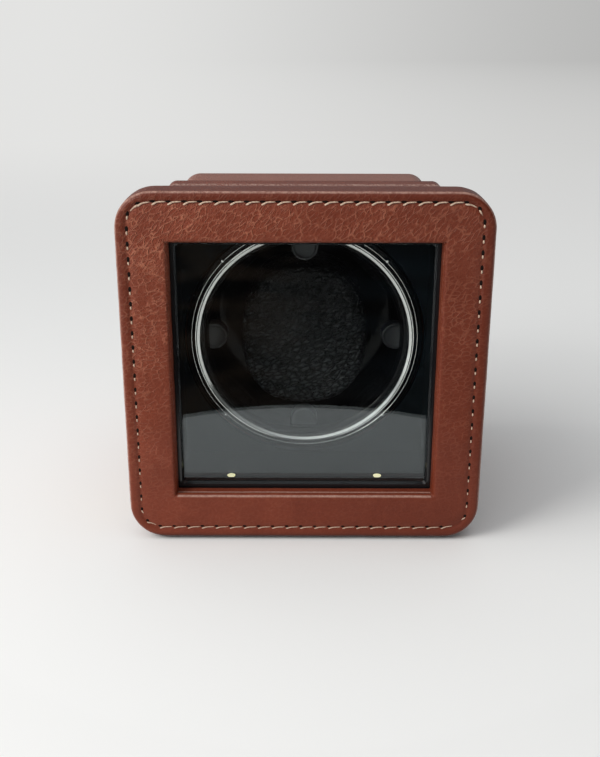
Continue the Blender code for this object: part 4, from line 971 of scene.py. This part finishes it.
def sleeve(name, half, corner, wall, front, back, edge):
    """A square leather sleeve with rounded corners, open front to back, whose ends are rolled."""
    inner, inner_corner = half - wall, 1.5 * MM
    turns = [QUARTER_TURN * step / 4 for step in range(5)]
    rolls = [(edge * (1 - math.sin(turn)), edge * (1 - math.cos(turn))) for turn in turns]
    outlines = [rounded_square(inner, inner_corner, front)]
    outlines += [rounded_square(half - inset, corner - inset, front + depth) for inset, depth in rolls]
    outlines += [rounded_square(half - inset, corner - inset, back - depth) for inset, depth in reversed(rolls)]
    outlines += [rounded_square(inner, inner_corner, back)]
    return swept(name, outlines)


class WINDER_OT_mid_sleeve(StepOperator, bpy.types.Operator):
    """Covers the middle case in leather, with a butted seam underneath"""

    bl_idname = "winder.mid_sleeve"
    bl_label = "Middle sleeve"

    def make(self, leather, drum, stage):
        low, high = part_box("mid_case")
        half = (high.x - low.x) / 2
        piece = sleeve("mid_sleeve", half, 3.5 * MM, 4.5 * MM, low.y - FRONT, high.y - FRONT, 1.2 * MM)
        cut(piece, [
            box_round("leaf_pocket", *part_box(node), margin=0.12 * MM)
            for node in ("hinge_upper_case_leaf", "hinge_lower_case_leaf", "strike_plate_upper", "strike_plate_lower")
        ])
        cut(piece, [box_round("seam", (-0.25 * MM, low.y - MM, low.z - MM), (0.25 * MM, high.y + MM, low.z + 0.35 * MM))])
        smooth(piece, 40)
        dress([piece], brown_leather("brown_leather_mid", leather, 0.7, ends=(low.y, high.y), sheen=FRONT + 65 * MM))
        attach(piece, "case")
        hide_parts("mid_case")


class WINDER_OT_rear_sleeve(StepOperator, bpy.types.Operator):
    """Covers the rear case in leather: deep rounded corners, a rolled back edge and the controls' recess"""

    bl_idname = "winder.rear_sleeve"
    bl_label = "Rear sleeve"

    def make(self, leather, drum, stage):
        low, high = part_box("rear_case")
        half = (high.x - low.x) / 2
        back = high.y - FRONT
        roll = 2 * MM
        bay = 45.3 * MM
        outlines = [
            rounded_square(bay + 1.6 * MM, 1.4 * MM, low.y - FRONT),
            rounded_square(bay + 1.6 * MM, 1.4 * MM, 76.2 * MM),
            rounded_square(half - 0.8 * MM, 6.4 * MM, 76.3 * MM),
            rounded_square(half - 0.2 * MM, 6.8 * MM, 76.5 * MM),
            rounded_square(half, 7 * MM, 77.2 * MM),
            rounded_square(half, 7 * MM, 92 * MM),
        ]
        for step in range(6):
            angle = QUARTER_TURN * step / 5
            inset = roll * (1 - math.cos(angle))
            outlines.append(rounded_square(half - inset, 7 * MM - inset, back - roll * (1 - math.sin(angle))))
        outlines += [
            rounded_square(bay + 0.5 * MM, 3.0 * MM, back),
            rounded_square(bay, 2.6 * MM, back - 0.5 * MM),
            rounded_square(bay, 2.0 * MM, 101.8 * MM),
            rounded_square(bay - 0.1 * MM, 2.0 * MM, 101.7 * MM),
            rounded_square(42.3 * MM, 13 * MM, 101.7 * MM),
            rounded_square(42.3 * MM, 13 * MM, 99.5 * MM),
            rounded_square(bay, 2.0 * MM, 99.5 * MM),
            rounded_square(bay, 2.0 * MM, low.y - FRONT),
        ]
        piece = swept("rear_sleeve", outlines)
        smooth(piece, 40)
        dress([piece], brown_leather("brown_leather_rear", leather, 0.5, ends=(FRONT + 76.3 * MM,), top_haze=0.3))
        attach(piece, "case")
        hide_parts("rear_case")


class WINDER_OT_drum_bowl(StepOperator, bpy.types.Operator):
    """Turns the drum's glossy bowl with its stepped flange, and adds the flats at its diagonals"""

    bl_idname = "winder.drum_bowl"
    bl_label = "Drum bowl"

    def make(self, leather, drum, stage):
        rim = 42.8 * MM
        profile = [
            (39.75 * MM, 38.9 * MM), (39.85 * MM, 38.45 * MM), (40.0 * MM, 38.3 * MM),
            (drum.step_ring - 0.12 * MM, 38.3 * MM), (drum.step_ring, 38.36 * MM), (drum.step_ring + 0.06 * MM, 38.7 * MM),
            (drum.step_ring + 0.2 * MM, 38.8 * MM), (rim - 0.4 * MM, 38.8 * MM), (rim - 0.12 * MM, 38.9 * MM),
            (rim, 39.2 * MM), (rim, 40.7 * MM), (rim - 0.2 * MM, 40.9 * MM), (40.5 * MM, 40.9 * MM),
            (40.5 * MM, 50.0 * MM), (37 * MM, 52.7 * MM), (37 * MM, 77.2 * MM), (35.6 * MM, 78.7 * MM),
            (0.0, 78.7 * MM), (0.0, 76.7 * MM), (33.4 * MM, 76.7 * MM), (34.6 * MM, 76.2 * MM), (34.9 * MM, 75.2 * MM),
            (34.9 * MM, 45.2 * MM),
        ]
        lip = [QUARTER_TURN * (1 - step / 10) for step in range(11)]
        profile += [(37.4 * MM - 2.5 * MM * math.sin(a), 43.6 * MM - 3.4 * MM * math.cos(a)) for a in lip]
        profile += [(39.6 * MM, 40.1 * MM)]
        bowl = turned("drum_bowl", profile, drum.steps)
        smooth(bowl, 32)
        pieces = [bowl]
        for index in range(4):
            pieces.append(self.flat(drum, index))
        bowl = join(pieces, "drum_bowl")
        dress([bowl], gloss_black("gloss_black_drum", 0.004, 0.07, 0.14))
        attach(bowl, "drum")
        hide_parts("drum_cup")

    def flat(self, drum, index):
        """A flat that closes the bowl's round wall at one diagonal: its front slopes in from the mouth, with rolled edges."""
        wall, mouth = 36.4 * MM, 36.5 * MM
        front, knee = 40.9 * MM, 46.3 * MM
        section = ((wall + MM, front), (mouth, front), (drum.flat_reach, knee), (drum.flat_reach, knee + drum.flat_depth),
                   (wall + MM, knee + drum.flat_depth))
        half_chord = 8.6 * MM
        piece = add("circle", f"flat_{index}", vertices=len(section), radius=MM, fill_type="NGON")
        for vertex, (reach, depth) in zip(piece.data.vertices, section):
            vertex.co = (-half_chord, FRONT + depth, MIDDLE.z + reach)
        alone(piece)
        edit("FACE")
        bpy.ops.mesh.extrude_region_move(TRANSFORM_OT_translate={"value": (2 * half_chord, 0, 0)})
        leave()
        tidy_mesh(piece)
        apply_modifier(piece, "BEVEL", width=0.45 * MM, segments=4, limit_method="ANGLE")
        smooth(piece, 30)
        turn = Matrix.Rotation(math.pi / 4 + QUARTER_TURN * index, 4, "Y")
        piece.data.transform(Matrix.Translation(MIDDLE) @ turn @ Matrix.Translation(-MIDDLE))
        return piece


class WINDER_OT_chrome_ring(StepOperator, bpy.types.Operator):
    """Turns the chrome ring round the drum's mouth, with a sloping face and a fine bead, and the thin line round it"""

    bl_idname = "winder.chrome_ring"
    bl_label = "Chrome ring"

    def make(self, leather, drum, stage):
        inner, outer, front, back = 37.4 * MM, 39.6 * MM, 37.5 * MM, 39.9 * MM
        profile = [
            (inner, back),
            (inner, front + 1.5 * MM),
            (inner + 0.2 * MM, front + 1.15 * MM),
            (inner + 0.45 * MM, front + 0.55 * MM),
            (inner + 0.55 * MM, front + 0.44 * MM),
            (inner + 1.35 * MM, front + 0.08 * MM),
            (inner + 1.47 * MM, front + 0.03 * MM),
            (inner + 1.6 * MM, front + 0.12 * MM),
            (outer - 0.5 * MM, front + 0.5 * MM),
            (outer - 0.36 * MM, front + 0.36 * MM),
            (outer - 0.14 * MM, front + 0.33 * MM),
            (outer, front + 0.5 * MM),
            (outer, back),
        ]
        ring = turned("drum_chrome_ring", profile, drum.steps)
        smooth(ring, 22)
        chrome = metal("chrome_polished", (0.95, 0.94, 0.92), 0.07, 0.04)
        dress([ring], chrome)
        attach(ring, "drum")
        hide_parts("chrome_ring")
        thin = 0.16 * MM
        trim = turned(
            "drum_trim_line", arc_profile((drum.step_ring, 38.34 * MM), thin, 0, 360, 10)[:-1], drum.steps,
        )
        smooth(trim, 60)
        dress([trim], chrome)
        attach(trim, "drum")


class WINDER_OT_bezel_pins(StepOperator, bpy.types.Operator):
    """Turns one small domed pin and copies it to the four diagonals of the flange"""

    bl_idname = "winder.bezel_pins"
    bl_label = "Bezel pins"

    def make(self, leather, drum, stage):
        chrome = metal("chrome_pins", (0.80, 0.79, 0.77), 0.08, 0.04)
        for index in range(4):
            node = f"bezel_pin_{index + 1}"
            low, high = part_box(node)
            centre = (low + high) / 2
            profile = [(0.0, low.y - FRONT + 0.02 * MM)]
            profile += [
                (0.9 * MM * math.sin(a), low.y - FRONT + 0.02 * MM + 0.55 * MM * (1 - math.cos(a)))
                for a in (0.35, 0.7, 1.05, 1.4, QUARTER_TURN)
            ]
            profile += [(0.5 * MM, low.y - FRONT + 0.6 * MM), (0.5 * MM, high.y - FRONT), (0.0, high.y - FRONT)]
            pin = turned(f"bezel_pin_head_{index + 1}", profile, 20, centre)
            smooth(pin, 50)
            dress([pin], chrome)
            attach(pin, "drum")
            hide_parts(node)


class WINDER_OT_grips(StepOperator, bpy.types.Operator):
    """Moulds one rubber grip with a rolled rim and a shallow dish, and copies it round the bowl"""

    bl_idname = "winder.grips"
    bl_label = "Cushion grips"

    def make(self, leather, drum, stage):
        rubber = grained_plastic("rubber_grips", (0.012, 0.013, 0.015), 0.4 * MM, 0.34, 0.02)
        for side in ("top", "bottom", "left", "right"):
            node = f"cushion_grip_{side}"
            low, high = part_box(node)
            radius = 4.9 * MM
            out = (low + high) / 2 - MIDDLE
            out.y = 0
            reach = 28.3 * MM + radius
            centre = MIDDLE + out.normalized() * reach
            front, back = low.y - FRONT, high.y - FRONT
            profile = [(0.0, front + 0.45 * MM), (radius - 1.5 * MM, front + 0.45 * MM), (radius - 1.1 * MM, front + 0.3 * MM)]
            profile += arc_profile((radius - 0.6 * MM, front + 0.6 * MM), 0.6 * MM, 250, 360, 6)
            profile += [(radius, back - 0.5 * MM), (radius - 0.5 * MM, back), (0.0, back)]
            grip = turned(f"grip_{side}", profile, 48, centre)
            smooth(grip, 40)
            dress([grip], rubber)
            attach(grip, "drum")
            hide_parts(node)


class WINDER_OT_cushion(StepOperator, bpy.types.Operator):
    """Fills the watch cushion by cloth pressure, then crinkles its black leather"""

    bl_idname = "winder.cushion"
    bl_label = "Watch cushion"

    def make(self, leather, drum, stage):
        cushion = copy_of(frame["nodes"]["watch_cushion"], "cushion_leather")
        cushion.parent = None
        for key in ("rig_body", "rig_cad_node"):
            del cushion[key]
        tidy_mesh(cushion)
        low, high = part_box("watch_cushion")
        centre = (low + high) / 2
        shrink = 1.4 * MM
        half = (high - low) / 2
        factors = [(side - shrink) / side for side in half]
        scaled = Matrix.Translation(centre) @ Matrix.Diagonal((*factors, 1)) @ Matrix.Translation(-centre)
        cushion.data.transform(scaled)
        apply_modifier(cushion, "REMESH", mode="VOXEL", voxel_size=drum.voxel)
        self.fill(cushion, drum)
        apply_modifier(cushion, "SUBSURF", levels=2, render_levels=2)
        self.crinkle(cushion, drum)
        self.keep_in(cushion, low, high)
        smooth(cushion, 80)
        dress([cushion], black_leather("black_leather_cushion", drum.cushion_cell))
        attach(cushion, "cushion")
        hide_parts("watch_cushion")

    def fill(self, cushion, drum):
        """Blows the skin up by cloth pressure, and holds each point within the most swell."""
        before = [vertex.co.copy() for vertex in cushion.data.vertices]
        alone(cushion)
        cloth = cushion.modifiers.new("Cloth", "CLOTH")
        cloth.settings.use_pressure = True
        cloth.settings.uniform_pressure_force = drum.pressure
        cloth.settings.effector_weights.gravity = 0
        cloth.settings.quality = 6
        scene = bpy.context.scene
        for number in range(1, 21):
            scene.frame_set(number)
        bpy.ops.object.modifier_apply(modifier=cloth.name)
        scene.frame_set(1)
        for vertex, start in zip(cushion.data.vertices, before):
            way = vertex.co - start
            if way.length > drum.most_swell:
                vertex.co = start + way.normalized() * drum.most_swell

    def crinkle(self, cushion, drum):
        """Pushes the skin along its normals into wavy ridges."""
        cell = drum.cushion_cell
        ways = [vertex.normal.copy() for vertex in cushion.data.vertices]
        for vertex, way in zip(cushion.data.vertices, ways):
            place = vertex.co / cell
            warp = noise.noise_vector(place * 0.6) * 0.34
            place = Vector((place.x * 0.36, place.y * 0.8, place.z * 0.95 - place.x * 0.26)) + warp
            ridges = 1 - abs(noise.noise(place)) * 3.4
            vertex.co += way * (ridges - 0.8) * drum.crinkle * 0.5

    def keep_in(self, cushion, low, high):
        """Holds the cushion in the space that its solid has."""
        for vertex in cushion.data.vertices:
            for axis in range(3):
                vertex.co[axis] = min(max(vertex.co[axis], low[axis] + 0.02 * MM), high[axis] - 0.02 * MM)


class WINDER_OT_lamps(StepOperator, bpy.types.Operator):
    """Domes the two small lamp lenses in the floor of the chamber"""

    bl_idname = "winder.lamps"
    bl_label = "Lamps"

    def make(self, leather, drum, stage):
        lens = warm_lens("warm_lens_lit")
        for side in ("left", "right"):
            low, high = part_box(f"lamp_lens_{side}")
            centre = (low + high) / 2
            top = high.z
            piece = add(
                "uv_sphere", f"lamp_dome_{side}", segments=32, ring_count=16, radius=1.45 * MM,
                location=(centre.x, centre.y, top - 0.05 * MM), scale=(1, 1, 0.32),
            )
            settle(piece)
            for vertex in piece.data.vertices:
                vertex.co.z = min(vertex.co.z, top)
            alone(piece)
            edit("FACE")
            pick(piece, "faces", lambda f, z=top: middle_of(f).z < z - 0.35 * MM)
            bpy.ops.mesh.extrude_region_move(TRANSFORM_OT_translate={"value": (0, 0, low.z - top + 0.5 * MM)})
            leave()
            smooth(piece, 40)
            dress([piece], lens)
            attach(piece, "case")
            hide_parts(f"lamp_lens_{side}")


class WINDER_OT_feet(StepOperator, bpy.types.Operator):
    """Turns the four rubber feet with their rolled edges"""

    bl_idname = "winder.feet"
    bl_label = "Feet"

    def make(self, leather, drum, stage):
        rubber = grained_plastic("rubber_feet", (0.016, 0.016, 0.017), 0.4 * MM, 0.62)
        for node in ("foot_front_left", "foot_front_right", "foot_rear_left", "foot_rear_right"):
            low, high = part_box(node)
            centre = (low + high) / 2
            radius = (high.x - low.x) / 2
            tall = high.z - low.z
            piece = add(
                "cylinder", f"{node}_pad", vertices=48, radius=radius, depth=tall, location=centre,
            )
            settle(piece)
            alone(piece)
            edit("FACE")
            pick(piece, "faces", lambda f: f.normal.z < -0.9)
            bpy.ops.transform.resize(value=(0.84, 0.84, 1), center_override=(centre.x, centre.y, low.z))
            bpy.ops.mesh.inset(thickness=0.9 * MM)
            bpy.ops.mesh.inset(thickness=1.2 * MM, depth=-0.35 * MM)
            leave()
            apply_modifier(piece, "BEVEL", width=0.35 * MM, segments=3, limit_method="ANGLE")
            smooth(piece, 40)
            dress([piece], rubber)
            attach(piece, "case")
            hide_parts(node)


class WINDER_OT_carried_nodes(StepOperator, bpy.types.Operator):
    """Gives the frame's own solids that still show their procedural finishes"""

    bl_idname = "winder.carried_nodes"
    bl_label = "Finishes of the frame's solids"

    def make(self, leather, drum, stage):
        steel = metal("steel_brushed", (0.56, 0.57, 0.58), 0.24, 0.12)
        brass = metal("brass_satin", (0.72, 0.50, 0.22), 0.2, 0.12)
        plastic = grained_plastic("black_plastic_grained", (0.014, 0.014, 0.015), 0.5 * MM, 0.5)
        white = grained_plastic("white_plastic_moulded", (0.72, 0.72, 0.69), 0.8 * MM, 0.38, 0.02)
        finishes = {
            window_glass("window_glass"): ("door_glass",),
            gloss_black("gloss_black_bead", 0.008, 0.14): ("glazing_bead",),
            flocked_lining("flocked_lining"): ("inner_liner", "baffle_panel"),
            plastic: (
                "door_backing", "mechanism_plate", "gearbox_case", "rear_panel", "power_inlet",
                "turns_knob", "direction_knob",
            ),
            white: ("drum_gear", "light_button"),
            steel: (
                "door_magnet_upper", "door_magnet_lower", "strike_plate_upper", "strike_plate_lower",
                "hinge_upper_pin", "hinge_lower_pin", "drum_shaft", "shaft_clip", "motor_can",
                "rear_screw_1", "rear_screw_2", "rear_screw_3", "rear_screw_4",
            ),
            brass: (
                "hinge_upper_door_leaf", "hinge_lower_door_leaf", "hinge_upper_case_leaf",
                "hinge_lower_case_leaf", "drive_pinion", "shaft_bush",
            ),
            board_green("board_green"): ("circuit_board",),
        }
        for material, names in finishes.items():
            dress([frame["nodes"][name] for name in names], material)


CAMERA_PLACE = (-1.58 * MM, -0.370, 0.1730)


def backdrop_tone(finish, across, away, stage, depth):
    """The backdrop's colour, with painted shade that darkens it to the right, by a depth from 0 to 1."""
    side = finish.between(across / away, -0.26, 0.36) * depth
    return finish.mix(side, stage.backdrop, tuple(0.58 * part for part in stage.backdrop))


class WINDER_OT_stage(StepOperator, bpy.types.Operator):
    """Sets the pale floor and backdrop, the lamps, the even sky and the camera"""

    bl_idname = "winder.stage"
    bl_label = "Stage"

    def make(self, leather, drum, stage):
        scene = bpy.context.scene
        self.floor(stage)
        self.dark_desk(stage)
        self.lamp("key_window", (-0.42, -0.36, 0.38), (0, -0.02, 0.05), 0.24, 0.30, stage.key, (1.0, 0.985, 0.96))
        self.daylight(stage)
        self.sky(scene, stage)
        scene.view_settings.view_transform = "Standard"
        bpy.ops.object.camera_add(location=CAMERA_PLACE)
        camera = bpy.context.object
        camera.name = "photo_camera"
        turn = Matrix.Rotation(QUARTER_TURN - stage.pitch, 3, "X") @ Matrix.Rotation(math.radians(0.148), 3, "Z")
        camera.rotation_euler = turn.to_euler()
        camera.data.lens = stage.focal
        camera.data.sensor_width = 36
        camera.data.sensor_fit = "AUTO"
        camera.data.clip_start = 0.01
        camera.data.dof.use_dof = False
        scene.camera = camera

    def floor(self, stage):
        """A wide pale floor, which meets the pale sky."""
        floor = settle(add("plane", "pale_floor", size=80))
        finish = Finish("pale_floor")
        place = finish.place()
        cloud = finish.noise(place, 0.4, 2.0)
        across, away = finish.part_of(place, "X"), finish.part_of(place, "Y")
        tone = finish.mix(cloud * 0.05, stage.floor, tuple(0.93 * part for part in stage.floor))
        near = finish.shader(Base_Color=tone, Roughness=0.62, Specular_IOR_Level=0.2)
        reach = away - CAMERA_PLACE[1]
        # Far off, the floor turns into the pale backdrop, with its painted shade to the right.
        depth = finish.between(reach, 1.2, 4.0, 0.42, 0.9, "LINEAR")
        far = finish.shader("ShaderNodeEmission", Color=backdrop_tone(finish, across, reach, stage, depth))
        distant = finish.between(away, 0.15, 1.1)
        dress([floor], finish.done(finish.node("ShaderNodeMixShader", {}, {0: distant, 1: near, 2: far})))

    def sky(self, scene, stage):
        """Soft light from all round, strongest from the window side and from above the viewer."""
        world = bpy.data.worlds.new("room_light")
        world.use_nodes = True
        room = Finish.of(world)
        way = room.node("ShaderNodeTexCoord", out="Generated")
        across, away, up = (room.part_of(way, letter) for letter in "XYZ")
        window = room.between(across, -0.2, -0.9) * room.between(up, -0.1, 0.35)
        viewer = room.between(away, -0.3, -0.75) * room.between(up, -0.12, 0.14) * room.between(across, 0.6, -0.3)
        behind = room.between(away, 0.3, 0.9) * room.between(up, -0.05, 0.1)
        overhead = room.between(up, 0.72, 0.93)
        bright = 0.32 + 1.5 * window + 2.2 * viewer + 0.6 * behind + 2.4 * overhead
        even = room.shader("ShaderNodeBackground", Color=(0.97, 0.985, 1.0), Strength=bright * stage.sky)
        # The camera sees the pale backdrop, with its painted shade to the right.
        tone = backdrop_tone(room, across, away, stage, room.between(away, 0.3, 0.8, 0.0, 0.9))
        pale = room.shader("ShaderNodeBackground", Color=tone, Strength=1.0)
        seen = room.node("ShaderNodeLightPath", out="Is Camera Ray")
        room.done(room.node("ShaderNodeMixShader", {}, {0: seen, 1: even, 2: pale}))
        scene.world = world

    def daylight(self, stage):
        """Soft light from the left that reaches the whole floor evenly."""
        bpy.ops.object.light_add(type="SUN", location=(-1, -0.4, 1))
        sun = bpy.context.object
        sun.name = "soft_daylight"
        sun.rotation_euler = Vector((1.0, 0.32, -0.86)).to_track_quat("-Z", "Y").to_euler()
        sun.data.energy = stage.daylight
        sun.data.angle = math.radians(46)
        sun.data.color = (1.0, 0.985, 0.96)

    def dark_desk(self, stage):
        """What lies in front of the pale sheet, seen only in the glass: what is behind the pane mirrors pale floor."""
        desk = settle(
            add("grid", "dark_desk", size=1.0, x_subdivisions=24, y_subdivisions=1, location=(0, 0, 1.0 * MM))
        )
        for vertex in desk.data.vertices:
            across = vertex.co.x * 0.26
            near = min(-0.1625 + 4.46 * across ** 2, -0.12)
            vertex.co = (across, near if vertex.co.y > 0 else -1.6, vertex.co.z)
        desk.visible_camera = False
        desk.visible_diffuse = False
        desk.visible_shadow = False
        finish = Finish("dark_desk")
        place = finish.place()
        cloud = finish.noise(place, 0.05, 2.0)
        side = finish.between(finish.part_of(place, "X"), -0.06, 0.06)
        tone = finish.mix(side, (0.055, 0.038, 0.028), (0.016, 0.020, 0.024))
        tone = finish.mix(finish.between(cloud, 0.4, 0.62), (0.010, 0.009, 0.009), tone)
        dark = finish.shader(Base_Color=tone, Roughness=0.8, Specular_IOR_Level=0.0)
        pale = finish.shader(Base_Color=stage.floor, Roughness=0.8, Specular_IOR_Level=0.0)
        panes = finish.node("ShaderNodeLightPath", out="Transparent Depth")
        inside = finish.between(panes, 2.5, 3.5)
        dress([desk], finish.done(finish.node("ShaderNodeMixShader", {}, {0: inside, 1: dark, 2: pale})))

    def lamp(self, name, place, aim, wide, high, power, tone):
        bpy.ops.object.light_add(type="AREA", location=place)
        lamp = bpy.context.object
        lamp.name = name
        lamp.rotation_euler = (Vector(aim) - Vector(place)).to_track_quat("-Z", "Y").to_euler()
        lamp.data.shape = "RECTANGLE"
        lamp.data.size, lamp.data.size_y = wide, high
        lamp.data.energy = power
        lamp.data.color = tone


class WINDER_PT_steps(bpy.types.Panel):
    """Lists the steps in the 3D view's sidebar."""

    bl_label = "Leather Watch Winder"
    bl_idname = "WINDER_PT_steps"
    bl_space_type = "VIEW_3D"
    bl_region_type = "UI"
    bl_category = "Winder"

    def draw(self, context):
        for group in (context.scene.winder_leather, context.scene.winder_drum, context.scene.winder_stage):
            column = self.layout.column(align=True)
            for name in group.bl_rna.properties.keys():
                if name not in ("rna_type", "name"):
                    column.prop(group, name)
        for step in STEPS:
            self.layout.operator(step.bl_idname)


SETTINGS = {"winder_leather": LeatherSettings, "winder_drum": DrumSettings, "winder_stage": StageSettings}
STEPS = (
    WINDER_OT_leather_door,
    WINDER_OT_stitching,
    WINDER_OT_mid_sleeve,
    WINDER_OT_rear_sleeve,
    WINDER_OT_drum_bowl,
    WINDER_OT_chrome_ring,
    WINDER_OT_bezel_pins,
    WINDER_OT_grips,
    WINDER_OT_cushion,
    WINDER_OT_lamps,
    WINDER_OT_feet,
    WINDER_OT_carried_nodes,
    WINDER_OT_stage,
)


def register():
    for made in (*SETTINGS.values(), *STEPS, WINDER_PT_steps):
        bpy.utils.register_class(made)
    for name, group in SETTINGS.items():
        setattr(bpy.types.Scene, name, PointerProperty(type=group))


def unregister():
    for name in SETTINGS:
        delattr(bpy.types.Scene, name)
    for made in (WINDER_PT_steps, *reversed(STEPS), *SETTINGS.values()):
        bpy.utils.unregister_class(made)


def main():
    register()
    for step in STEPS:
        group, name = step.bl_idname.split(".")
        getattr(getattr(bpy.ops, group), name)()


if __name__ == "__main__":
    main()
